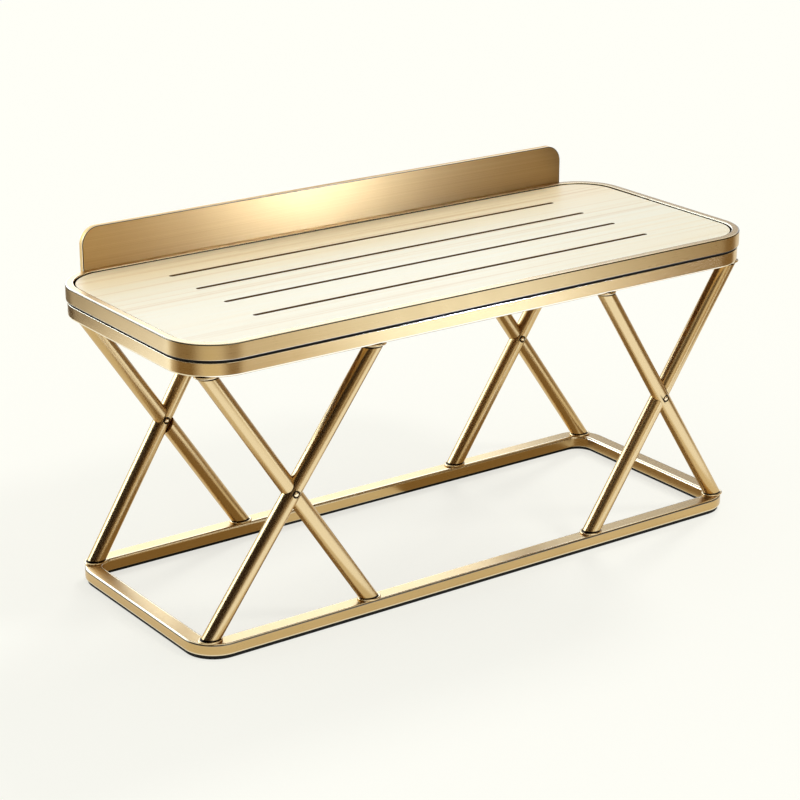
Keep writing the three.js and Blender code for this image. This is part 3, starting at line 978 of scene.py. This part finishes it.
@dataclass
class FloorRing:
    """Brass channel ring on the floor and the rubber strip that fills it."""

    corner_radius: float = 0.050
    rail_width: float = 0.026
    wall: float = 0.003
    outer_edge: float = 0.0026
    crown_edge: float = 0.0040
    inner_edge: float = 0.0006
    pad_edge: float = 0.0012

    def build(self, brass: bpy.types.Material, rubber: bpy.types.Material) -> None:
        """Makes and dresses the ring and the strip."""
        dress(self.ring(), brass, ["base_ring"])
        dress(self.pad(), rubber, ["floor_pad"])

    def ring(self) -> bpy.types.Object:
        """Channel ring turned down, with its outer edges eased and a painted dark line under its top outer
        edge.
        """
        outline = Outline.around("base_ring", self.corner_radius)
        low, high = outline.low.z, outline.high.z
        inner = self.rail_width - self.wall
        ceiling = high - self.wall
        section = [
            Corner(0, low, self.outer_edge),
            Corner(0, high, self.outer_edge),
            Corner(self.rail_width, high, self.crown_edge),
            Corner(self.rail_width, low, self.inner_edge),
            Corner(inner, low, self.inner_edge),
            Corner(inner, ceiling, self.inner_edge),
            Corner(self.wall, ceiling, self.inner_edge),
            Corner(self.wall, low, self.inner_edge),
        ]
        # Painted dark line under the top outer edge, standing in for a dark reflection.
        patches = [Patch((0, self.outer_edge / 5), (high - self.outer_edge, high - self.outer_edge / 3), 0.8)]
        return swept_ring("floor_channel", outline, section, patches)

    def pad(self) -> bpy.types.Object:
        """Rubber strip that stands a little below the ring."""
        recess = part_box("floor_pad")[0].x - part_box("base_ring")[0].x
        outline = Outline.around("floor_pad", self.corner_radius - recess)
        width = self.rail_width - 2 * recess
        section = [
            Corner(0, outline.low.z, self.pad_edge),
            Corner(0, outline.high.z, self.pad_edge),
            Corner(width, outline.high.z, self.pad_edge),
            Corner(width, outline.low.z, self.pad_edge),
        ]
        return swept_ring("pad_strip", outline, section)


@dataclass(frozen=True)
class Tube:
    """Axis of one leg tube, from its foot to its top."""

    node: str
    foot: Vector
    top: Vector

    @classmethod
    def of(cls, node: str) -> "Tube":
        """Tube of a CAD node, through the middles of its two collars."""
        ends = [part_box(f"{node}_{end}_collar") for end in ("foot", "top")]
        return cls(node, *((low + high) / 2 for low, high in ends))

    @property
    def direction(self) -> Vector:
        """Direction of the axis, upwards."""
        return (self.top - self.foot).normalized()

    def nearest(self, other: "Tube") -> Vector:
        """Point of this axis that lies nearest to another tube's axis."""
        between = self.foot - other.foot
        lean = self.direction.dot(other.direction)
        along = between.dot(self.direction)
        along_other = between.dot(other.direction)
        return self.foot + self.direction * (lean * along_other - along) / (1 - lean * lean)

    def loop(self, height: float, radius: float) -> np.ndarray:
        """Level section of the tube.

        Args:
            height: Height of the section.
            radius: Radius of the tube.

        Returns:
            Points of the section.
        """
        across = self.direction.cross(Vector((0, 0, 1))).normalized()
        steep = across.cross(self.direction)
        points = []
        for angle in np.linspace(0, 2 * math.pi, TUBE_STEPS, endpoint=False):
            spoke = radius * (math.cos(angle) * across + math.sin(angle) * steep)
            start = self.foot + spoke
            points.append(start + self.direction * (height - start.z) / self.direction.z)
        return np.array(points)

    @property
    def lean_turn(self) -> Vector:
        """Turn about Z from +X to the way the tube leans."""
        return Vector((0, 0, math.atan2(self.direction.y, self.direction.x)))


@dataclass(frozen=True)
class Place:
    """Point where a fitting sits and its turn as Euler angles."""

    point: Vector
    turn: Vector

    @classmethod
    def facing(cls, point: Vector, direction: Vector) -> "Place":
        """Place whose +Z points along a direction."""
        return cls(point, Vector(direction.to_track_quat("Z", "Y").to_euler()))


@dataclass
class LegPair:
    """Two tubes that cross, halved into each other and riveted."""

    corner: str
    outer_in_front: bool
    tube_radius: float = 0.0125
    fit_gap: float = 0.0003
    seat_radius: float = 0.0058
    seat_depth: float = 0.0014
    end_shade: float = 0.0046
    end_fade: float = 0.0008
    slot_share: float = 0.82
    joint_loops: tuple[float, ...] = (-0.035, -0.009, 0.009, 0.035)

    def __post_init__(self) -> None:
        """Finds the two axes, the tube in front first, and the direction that it faces."""
        outer = Tube.of(f"{self.corner}_outer_tube")
        inner = Tube.of(f"{self.corner}_inner_tube")
        self.tubes = (outer, inner) if self.outer_in_front else (inner, outer)
        across = self.tubes[0].direction.cross(self.tubes[1].direction).normalized()
        self.to_front = across if across.y < 0 else -across
        self.crossings = (self.tubes[0].nearest(self.tubes[1]), self.tubes[1].nearest(self.tubes[0]))

    def build(self, brass: bpy.types.Material) -> None:
        """Makes and dresses both tubes."""
        for index, tube in enumerate(self.tubes):
            facing = self.to_front if index == 0 else -self.to_front
            piece = self.blank(tube, self.crossings[index].z)
            cut(piece, [self.halving(index, facing), self.seat(self.crossings[index], facing)])
            # Painted shade in the rivet's seat, which darkens the ring round its head.
            self.paint_seat_shade(piece, self.crossings[index] + facing * (self.tube_radius - self.seat_depth))
            dress(piece, brass, [tube.node])

    def blank(self, tube: Tube, joint: float) -> bpy.types.Object:
        """Tube with painted shade on its level ends, before it is cut.

        Args:
            tube: Axis of the tube.
            joint: Height of its crossing, above and below which loops keep the cuts' faces short.

        Returns:
            The uncut tube.
        """
        low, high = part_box(tube.node)
        into = np.array((0, self.end_shade, self.end_shade + self.end_fade))
        heights = [*(low.z + into), *(joint + np.array(self.joint_loops)), *(high.z - into[::-1])]
        # Painted shade on the last few millimetres of each end, where the collar meets the tube.
        stain = np.array((1, 1, 0, *(0 for _ in self.joint_loops), 0, 1, 1))
        draft = Draft()
        grid = np.array([tube.loop(height, self.tube_radius) for height in heights])
        loops = draft.add_skin(grid, np.zeros(len(grid)), False, stain)
        for loop in (loops[0], loops[-1]):
            draft.add_cap(loop)
        return draft.piece(tube.node.replace("_tube", "_leg"))

    def halving(self, index: int, facing: Vector) -> bpy.types.Object:
        """Room that a tube leaves at the crossing for its partner's kept half.

        Args:
            index: Which of the two tubes is cut.
            facing: Direction that this tube's kept half faces.

        Returns:
            A half-round bar along the partner, behind the kept half. Where the tube's own crown would
            stand out past the partner's, the bar's middle reaches through it.
        """
        partner = self.tubes[1 - index].direction
        centre = self.crossings[1 - index]
        middle = (self.crossings[0] + self.crossings[1]) / 2
        radius = self.tube_radius + self.fit_gap
        flat = max((middle - centre).dot(facing) + self.fit_gap / 2, self.fit_gap / 2)
        across = facing.cross(partner)
        angles = np.linspace(0, math.pi, BORE_STEPS)
        widths, depths = radius * np.cos(angles), radius * np.sin(angles)
        if (centre - self.crossings[index]).dot(facing) > 0:
            depths[np.abs(widths) < self.slot_share * radius] = 2 * radius
        round_side = [across * width - facing * depth for width, depth in zip(widths, depths)]
        section = [across * radius + facing * flat, *round_side, facing * flat - across * radius]
        reach = partner * 4 * self.tube_radius
        draft = Draft()
        ends = [[centre + end + point for point in section] for end in (-reach, reach)]
        for loop in draft.add_skin(np.array(ends), np.zeros(2), closed=False):
            draft.add_cap(loop)
        return draft.piece("halving")

    def seat(self, crossing: Vector, facing: Vector) -> bpy.types.Object:
        """Seat of the rivet's head in the crown of a tube."""
        crown = crossing + facing * self.tube_radius
        return round_bar("rivet_seat", crown - facing * self.seat_depth, crown + facing * self.seat_radius,
                         self.seat_radius)

    def paint_seat_shade(self, piece: bpy.types.Object, middle: Vector) -> None:
        """Paints shade on the floor of a rivet's seat.

        Args:
            piece: Tube with its seat cut.
            middle: Middle of the seat's floor.
        """
        stain = piece.data.attributes[PAINTED_SHADE_LAYER].data
        for vertex in piece.data.vertices:
            if (vertex.co - middle).length < self.seat_radius + self.fit_gap / 10:
                stain[vertex.index].value = 1.0

    def rivet_places(self) -> list[Place]:
        """Middles of the two rivet seats."""
        depth = self.tube_radius - self.seat_depth
        sides = zip(self.crossings, (self.to_front, -self.to_front))
        return [Place.facing(crossing + facing * depth, facing) for crossing, facing in sides]

    def collar_places(self) -> list[Place]:
        """Middles of the four collars."""
        return [Place(end, tube.lean_turn) for tube in self.tubes for end in (tube.foot, tube.top)]

    def collar_nodes(self) -> list[str]:
        """Names of the four collars' CAD nodes."""
        return [f"{tube.node}_{end}_collar" for tube in self.tubes for end in ("foot", "top")]

    def collar_stretch(self) -> float:
        """How much longer a tube's level section is than it is wide."""
        return 1 / self.tubes[0].direction.z


class FittingGraph(Graph):
    """Geometry nodes that set one small fitting at every place they are given."""

    def __init__(self, name: str) -> None:
        """Starts a tree that takes places and a finish."""
        super().__init__(bpy.data.node_groups.new(name, "GeometryNodeTree"))
        self.sizes: dict[str, float] = {}
        self.entry = self.node("NodeGroupInput")
        self.places = self._socket("Places", "NodeSocketGeometry")
        self.finish = self._socket("Finish", "NodeSocketMaterial")
        self.tree.interface.new_socket("Fittings", in_out="OUTPUT", socket_type="NodeSocketGeometry")

    def _socket(self, name: str, kind: str) -> bpy.types.NodeSocket:
        """Adds a named input to the tree."""
        item = self.tree.interface.new_socket(name, in_out="INPUT", socket_type=kind)
        return next(output for output in self.entry.outputs if output.identifier == item.identifier)

    def size(self, name: str, length: float) -> Value:
        """Adds a named size."""
        socket = self._socket(name, "NodeSocketFloat")
        self.sizes[socket.identifier] = length
        return Value(self, socket)

    def turned(self, profile: Sequence[tuple[float, float]], radius: Value, height: Value,
               steps: int) -> bpy.types.NodeSocket:
        """Solid of revolution about Z.

        Args:
            profile: Radii and heights from the bottom of the axis to its top, as shares of the sizes.
            radius: Largest radius.
            height: Full height.
            steps: Facets round the axis.

        Returns:
            The closed mesh.
        """
        sheet = self.node("GeometryNodeMeshGrid", None, {
            "Size X": 1.0, "Size Y": 1.0, "Vertices X": steps + 1, "Vertices Y": len(profile),
        })
        place = self.node("ShaderNodeSeparateXYZ", None, {0: self.node("GeometryNodeInputPosition").outputs[0]})
        angle = Value(self, place.outputs[0]) * (2 * math.pi)
        along = Value(self, place.outputs[1]) + 0.5
        radii = self.value("ShaderNodeFloatCurve", {"points": [share for share, _ in profile]}, {1: along})
        heights = self.value("ShaderNodeFloatCurve", {"points": [share for _, share in profile]}, {1: along})
        reach = radii * radius
        point = self.node("ShaderNodeCombineXYZ", None, {
            0: reach * angle.cosine(), 1: reach * angle.sine(), 2: heights * height,
        })
        form = self.node("GeometryNodeSetPosition", None, {
            "Geometry": sheet.outputs[0], "Position": point.outputs[0],
        })
        welded = self.node("GeometryNodeMergeByDistance", None, {"Geometry": form.outputs[0], "Distance": TINY})
        return welded.outputs[0]

    def set_out(self, fitting: bpy.types.NodeSocket, scale: Any = (1.0, 1.0, 1.0)) -> None:
        """Ends the tree: the fitting at every place, as one real mesh in its finish.

        Args:
            fitting: Mesh of one fitting.
            scale: Scale of every fitting.
        """
        turn = self.node("GeometryNodeInputNamedAttribute", {"data_type": "FLOAT_VECTOR"}, {"Name": TURN_LAYER})
        copies = self.node("GeometryNodeInstanceOnPoints", None, {
            "Points": self.places, "Instance": fitting, "Rotation": turn.outputs[0], "Scale": scale,
        })
        real = self.node("GeometryNodeRealizeInstances", None, {"Geometry": copies.outputs[0]})
        dressed = self.node("GeometryNodeSetMaterial", None, {
            "Geometry": real.outputs[0], "Material": self.finish,
        })
        self.node("NodeGroupOutput", None, {0: dressed.outputs[0]})

    def piece(self, name: str, places: Sequence[Place], finish: bpy.types.Material) -> bpy.types.Object:
        """Runs the tree over places and keeps the result as a plain mesh.

        Args:
            name: Name of the piece.
            places: Where the fittings sit.
            finish: Material of the fittings.

        Returns:
            The piece.
        """
        mesh = bpy.data.meshes.new(name)
        mesh.from_pydata([place.point for place in places], [], [])
        turns = mesh.attributes.new(TURN_LAYER, "FLOAT_VECTOR", "POINT")
        turns.data.foreach_set("vector", [angle for place in places for angle in place.turn])
        piece = new_object(name, mesh)
        modifier = piece.modifiers.new(name, "NODES")
        modifier.node_group = self.tree
        modifier[self.finish.identifier] = finish
        for identifier, length in self.sizes.items():
            modifier[identifier] = length
        settle(piece)
        sharpen(piece)
        return piece


@dataclass
class Collars:
    """Bright beads round both ends of every tube."""

    ring_radius: float = 0.0134
    bead_radius: float = 0.00145
    ring_steps: int = 64
    bead_steps: int = 16

    def build(self, pairs: Sequence[LegPair], brass: bpy.types.Material) -> None:
        """Makes and dresses all the collars as one piece."""
        graph = FittingGraph("collar")
        path = self.circle(graph, "Ring Radius", self.ring_radius, self.ring_steps)
        bead = self.circle(graph, "Bead Radius", self.bead_radius, self.bead_steps)
        stretch = graph.size("Stretch", pairs[0].collar_stretch())
        tube = graph.node("GeometryNodeCurveToMesh", None, {"Curve": path, "Profile Curve": bead})
        scale = graph.node("ShaderNodeCombineXYZ", None, {0: stretch, 1: 1.0, 2: 1.0})
        graph.set_out(tube.outputs[0], scale.outputs[0])
        places = [place for pair in pairs for place in pair.collar_places()]
        piece = graph.piece("leg_collars", places, brass)
        dress(piece, brass, [node for pair in pairs for node in pair.collar_nodes()])

    @staticmethod
    def circle(graph: FittingGraph, name: str, radius: float, steps: int) -> bpy.types.NodeSocket:
        """Circle whose radius is a named size."""
        sockets = {"Resolution": steps, "Radius": graph.size(name, radius)}
        return graph.node("GeometryNodeCurvePrimitiveCircle", None, sockets).outputs[0]


@dataclass
class Rivets:
    """Domed rivet heads on both sides of every crossing."""

    head_radius: float = 0.0036
    head_height: float = 0.0022
    steps: int = 32
    profile: tuple[tuple[float, float], ...] = (
        (0, 0), (0.94, 0), (1, 0.06), (1, 0.28), (0.96, 0.48), (0.85, 0.70), (0.66, 0.87), (0.36, 0.97), (0, 1),
    )

    def build(self, pairs: Sequence[LegPair], brass: bpy.types.Material) -> None:
        """Makes and dresses all the heads as one piece."""
        graph = FittingGraph("rivet_head")
        radius = graph.size("Head Radius", self.head_radius)
        height = graph.size("Head Height", self.head_height)
        graph.set_out(graph.turned(self.profile, radius, height, self.steps))
        places = [place for pair in pairs for place in pair.rivet_places()]
        piece = graph.piece("crossing_rivets", places, brass)
        dress(piece, brass, [f"{pair.corner}_rivet" for pair in pairs])


@dataclass
class Screws:
    """Row of socket-head screws, seen by their heads."""

    name: str
    node: str
    count: int
    head_radius: float
    head_height: float
    facing: Triple
    socket_radius: float = 0.0021
    socket_depth: float = 0.0016
    socket_turn: float = math.radians(5)
    steps: int = 32
    profile: tuple[tuple[float, float], ...] = (
        (0, 0), (0.96, 0), (1, 0.06), (1, 0.62), (0.97, 0.80), (0.88, 0.94), (0.74, 1), (0.40, 1), (0, 1),
    )

    def build(self, finish: bpy.types.Material, slot: Slot) -> None:
        """Makes and dresses the heads as one piece."""
        graph = FittingGraph(self.name)
        radius = graph.size("Head Radius", self.head_radius)
        height = graph.size("Head Height", self.head_height)
        head = graph.turned(self.profile, radius, height, self.steps)
        key = graph.node("GeometryNodeMeshCylinder", None, {
            "Vertices": 6,
            "Radius": graph.size("Socket Radius", self.socket_radius),
            "Depth": 2 * graph.size("Socket Depth", self.socket_depth),
        })
        lift = graph.node("ShaderNodeCombineXYZ", None, {2: height})
        raised = graph.node("GeometryNodeTransform", None, {
            "Geometry": key.outputs[0], "Translation": lift.outputs[0], "Rotation": (0, 0, self.socket_turn),
        })
        drilled = graph.node("GeometryNodeMeshBoolean", {"operation": "DIFFERENCE", "solver": "EXACT"}, {
            0: head, 1: raised.outputs[0],
        })
        graph.set_out(drilled.outputs[0])
        nodes = [f"{self.node}_{number}" for number in range(1, self.count + 1)]
        dress(graph.piece(self.name, [self.place(node) for node in nodes], finish), finish, nodes)

    def place(self, node: str) -> Place:
        """Seat of one screw's head: the head's own end of its box, less its height."""
        low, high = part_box(node)
        middle = (low + high) / 2
        facing = Vector(self.facing)
        reach = abs((high - low).dot(facing)) / 2
        return Place.facing(middle + facing * (reach - self.head_height), facing)


def towards(bearing: float, elevation: float) -> Vector:
    """Direction from the bench; bearings turn from the front (-Y) towards +X, in degrees."""
    turn, rise = math.radians(bearing), math.radians(elevation)
    return Vector((math.sin(turn) * math.cos(rise), -math.cos(turn) * math.cos(rise), math.sin(rise)))


@dataclass(frozen=True)
class Lamp:
    """Soft far lamp that lights the bench and the floor evenly."""

    name: str
    bearing: float
    elevation: float
    softness: float
    level: float
    tone: Triple = (1.0, 0.985, 0.95)

    def build(self) -> None:
        """Hangs the lamp, as strong as gives its level of light on the floor."""
        light = bpy.data.lights.new(self.name, "SUN")
        light.angle = math.radians(self.softness)
        light.energy = self.level * math.pi / math.sin(math.radians(self.elevation))
        light.color = self.tone
        lamp = bpy.data.objects.new(self.name, light)
        lamp.rotation_euler = towards(self.bearing, self.elevation).to_track_quat("Z", "Y").to_euler()
        lamp.visible_glossy = False
        bpy.context.scene.collection.objects.link(lamp)


def show_in_reflections(name: str, points: Sequence[Vector], faces: Sequence[Sequence[int]],
                        tones: Sequence[Triple], pieces: Sequence[str] = ()) -> None:
    """Adds a glowing sheet to the stage that only reflections show.

    Args:
        name: Name of the sheet.
        points: Its points.
        faces: Its faces, as indices of the points.
        tones: Colour of its glow at each point.
        pieces: Names of the pieces that reflect it, all of them if left out.
    """
    mesh = bpy.data.meshes.new(name)
    mesh.from_pydata(points, [], faces)
    layer = mesh.attributes.new(TONE_LAYER, "FLOAT_COLOR", "POINT")
    layer.data.foreach_set("color", [share for tone in tones for share in opaque(tone)])
    graph = SurfaceGraph(name)
    tone = graph.node("ShaderNodeAttribute", {"attribute_name": TONE_LAYER})
    glow = graph.node("ShaderNodeEmission", None, {"Color": tone.outputs["Color"]})
    graph.node("ShaderNodeOutputMaterial", None, {"Surface": glow.outputs[0]})
    mesh.materials.append(graph.material)
    sheet = new_object(name, mesh)
    sheet.visible_camera = False
    sheet.visible_diffuse = False
    sheet.visible_transmission = False
    sheet.visible_shadow = False
    if pieces:
        mirrors = bpy.data.collections.new(name)
        for piece in pieces:
            mirrors.objects.link(bpy.data.objects[piece])
        sheet.light_linking.receiver_collection = mirrors


@dataclass(frozen=True)
class Card:
    """Card round the bench between two arcs, whose tone runs from its first bearing to its last.

    Each arc has a radius and a height: a card with equal radii stands, one with equal heights lies flat.
    """

    name: str
    bearings: tuple[float, float]
    first_arc: tuple[float, float]
    last_arc: tuple[float, float]
    tone: Triple
    last_tone: Triple | None = None
    fade: float = 0.0
    pieces: tuple[str, ...] = ()
    steps: int = 48

    def build(self) -> None:
        """Places the card."""
        bearings = np.linspace(*self.bearings, self.steps + 1)
        ways = [towards(bearing, 0) for bearing in bearings]
        arcs = (self.first_arc, self.last_arc)
        points = [way * radius + Vector((0, 0, height)) for radius, height in arcs for way in ways]
        row = len(ways)
        faces = [(i, i + 1, row + i + 1, row + i) for i in range(self.steps)]
        from_end = np.minimum(bearings - bearings[0], bearings[-1] - bearings)
        share = np.minimum(1, (from_end + TINY) / (self.fade + TINY))[:, None]
        tones = np.linspace(self.tone, self.last_tone or self.tone, row) * share + (1 - share)
        glow = [tuple(tone) for tone in tones.tolist()] * len(arcs)
        show_in_reflections(self.name, points, faces, glow, self.pieces)


@dataclass(frozen=True)
class Mat:
    """Sheet on the floor by the bench, between two corners, that only reflections show."""

    name: str
    low: tuple[float, float]
    high: tuple[float, float]
    tone: Triple
    lift: float = 0.0005

    def build(self) -> None:
        """Lays the mat."""
        (left, front), (right, rear) = self.low, self.high
        corners = ((left, front), (right, front), (right, rear), (left, rear))
        points = [Vector((x, y, self.lift)) for x, y in corners]
        show_in_reflections(self.name, points, [(0, 1, 2, 3)], [self.tone] * len(points))


@dataclass
class Studio:
    """Pale floor, white surroundings, soft lamps, what the brass reflects and the camera."""

    paper: Triple = (0.995, 0.995, 0.94)
    floor_half: float = 30.0
    floor_drop: float = 0.0002
    floor_glow: float = 0.68
    ambient: float = 0.67
    camera_place: Triple = (-1.91743, -2.66108, 1.40766)
    camera_tilt: float = 70.2265
    camera_turn: float = -35.4320
    lens: float = 103.99
    sensor: float = 36.0

    def build(self) -> None:
        """Sets the scene round the bench."""
        scene = bpy.context.scene
        scene.view_settings.view_transform = "Standard"
        self.lay_floor()
        self.light_world(scene)
        self.set_camera(scene)
        for stand in (*self.lamps(), *self.cards()):
            stand.build()

    @staticmethod
    def lamps() -> list[Lamp]:
        """The lamps: a key from the front right and a softer one from behind on the right."""
        return [
            Lamp("key", 34.0, 50.0, 12.0, 0.15),
            Lamp("rear", 122.0, 42.0, 14.0, 0.20),
        ]

    @staticmethod
    def cards() -> list[Card | Mat]:
        """What the brass and the lacquer reflect."""
        ink = (0.025, 0.013, 0.005)
        dark = (0.085, 0.052, 0.024)
        brown = (0.22, 0.145, 0.065)
        dusk = (0.30, 0.21, 0.10)
        tan = (0.55, 0.42, 0.27)
        cool = (1.7, 2.05, 2.75)
        flat = 0.001
        return [
            Card("rear_light", (128.0, 195.0), (3.05, 0.8), (3.05, 2.6), (2.1, 2.45, 3.05)),
            Card("rear_right_screen", (100.0, 138.0), (3.0, 0.0), (3.0, 1.6), (0.46, 0.50, 0.64)),
            Card("rear_left_light", (-168.0, -119.0), (3.0, 0.75), (3.0, 1.7), (4.5, 5.6, 7.5)),
            Card("plate_light", (30.9, 35.1), (3.2, 0.1), (3.2, 1.25), (33.0, 44.0, 82.0),
                 pieces=("plate_upright", "frame_band")),
            Card("near_screen", (-118.0, -48.0), (3.0, 0.0), (3.0, 3.0), ink),
            Card("camera_screen", (-48.0, -12.0), (3.0, 0.0), (3.0, 3.0), ink, brown),
            Card("front_screen", (10.0, 29.0), (3.3, 0.0), (3.3, 2.2), tan),
            Card("right_screen", (33.0, 100.0), (3.4, 0.0), (3.4, 4.6), dark, tan),
            Card("front_window", (17.0, 42.0), (1.15, flat), (2.1, flat), (2.0, 2.5, 3.6), fade=7.0),
            Card("right_mat", (42.0, 88.0), (1.15, flat), (3.4, flat), dusk, fade=6.0),
            Card("near_mat", (-32.0, 17.0), (1.1, flat), (3.0, flat), dusk, fade=17.0),
            Card("left_mat", (-116.0, -58.0), (1.1, flat), (2.4, flat), dusk, fade=17.0),
            Card("left_window", (-135.0, -116.0), (1.2, flat), (2.1, flat), cool, fade=2.0),
            Card("rear_mat", (-178.0, -136.0), (1.5, flat), (2.8, flat), dark, fade=4.0),
            # Painted shade of the floor under the bench, seen only in reflections.
            Mat("left_rug", (-0.45, -0.165), (-0.14, 0.165), dusk),
            Mat("right_rug", (0.10, -0.165), (0.45, 0.165), dusk),
            Mat("apron", (-0.75, -1.00), (0.90, -0.27), (1.35, 1.55, 2.0)),
        ]

    @staticmethod
    def seen(graph: Graph) -> Value:
        """1 on rays that show the surroundings: from the camera, reflected or through glass."""
        path = graph.node("ShaderNodeLightPath")
        camera, glossy, glass = (
            Value(graph, path.outputs[name])
            for name in ("Is Camera Ray", "Is Glossy Ray", "Is Transmission Ray")
        )
        return camera.larger(glossy).larger(glass)

    def lay_floor(self) -> None:
        """Lays a plain pale floor that keeps the shadow."""
        form = bmesh.new()
        bmesh.ops.create_grid(form, size=self.floor_half, matrix=Matrix.Translation((0, 0, -self.floor_drop)))
        mesh = bpy.data.meshes.new("floor")
        form.to_mesh(mesh)
        form.free()
        graph = SurfaceGraph("pale_floor")
        paper = graph.node("ShaderNodeBsdfDiffuse", None, {"Color": opaque(self.paper)})
        glow = graph.node("ShaderNodeEmission", None, {"Color": opaque(self.paper)})
        share = self.seen(graph) * self.floor_glow
        lit = graph.node("ShaderNodeMixShader", None, {0: share, 1: paper.outputs[0], 2: glow.outputs[0]})
        graph.node("ShaderNodeOutputMaterial", None, {"Surface": lit.outputs[0]})
        mesh.materials.append(graph.material)
        new_object("floor", mesh)

    def light_world(self, scene: bpy.types.Scene) -> None:
        """White surroundings where they are seen, softer light where they only light."""
        world = bpy.data.worlds.new("surroundings")
        world.use_nodes = True
        scene.world = world
        graph = Graph(world.node_tree)
        strength = self.ambient + self.seen(graph) * (1 - self.ambient)
        sky = graph.node("ShaderNodeBackground", None, {"Color": opaque(self.paper), "Strength": strength})
        graph.node("ShaderNodeOutputWorld", None, {"Surface": sky.outputs[0]})

    def set_camera(self, scene: bpy.types.Scene) -> None:
        """Places the camera at the photograph's viewpoint."""
        lens = bpy.data.cameras.new("view")
        lens.lens = self.lens
        lens.sensor_width = self.sensor
        camera = bpy.data.objects.new("view", lens)
        camera.location = self.camera_place
        camera.rotation_euler = (math.radians(self.camera_tilt), 0, math.radians(self.camera_turn))
        scene.collection.objects.link(camera)
        scene.camera = camera


def main() -> None:
    """Builds the bench piece by piece, then the studio round it."""
    logging.basicConfig(level=logging.INFO, format="%(name)s: %(message)s")
    band_brass = BrushedBrass("band_brass").material()
    frame_brass = BrushedBrass("frame_brass", roughness=0.20).material()
    plate_brass = BrushedBrass("plate_brass", bright=(0.66, 0.42, 0.15), deep=(0.46, 0.27, 0.08),
                               roughness=0.40, anisotropy=1.0, streaks=0.6).material()
    tube_brass = BrushedBrass("tube_brass", roughness=0.25, brushing=Brushing.ALONG_V, streaks=0.08,
                              wear=0.2, scratch_depth=0.000001).material()
    turned_brass = TurnedBrass().material()
    timber = PaleTimber().material()
    rubber = BlackRubber().material()
    steel = ZincSteel().material()

    Tray().build(band_brass, timber)
    TopFrame().build(frame_brass, rubber)
    BackPlate().build(plate_brass)
    FloorRing().build(band_brass, rubber)
    pairs = [
        LegPair("front_left", outer_in_front=True),
        LegPair("front_right", outer_in_front=True),
        LegPair("rear_left", outer_in_front=True),
        LegPair("rear_right", outer_in_front=False),
    ]
    for pair in pairs:
        pair.build(tube_brass)
    Collars().build(pairs, turned_brass)
    Rivets().build(pairs, turned_brass)
    Screws("panel_screw_heads", "panel_screw", 6, 0.004, 0.0025, (0, 0, -1)).build(steel, Slot.STEEL)
    Screws("plate_screw_heads", "plate_screw", 4, 0.00425, 0.003, (0, 1, 0)).build(turned_brass, Slot.BRASS)
    Studio().build()


if __name__ == "__main__":
    main()
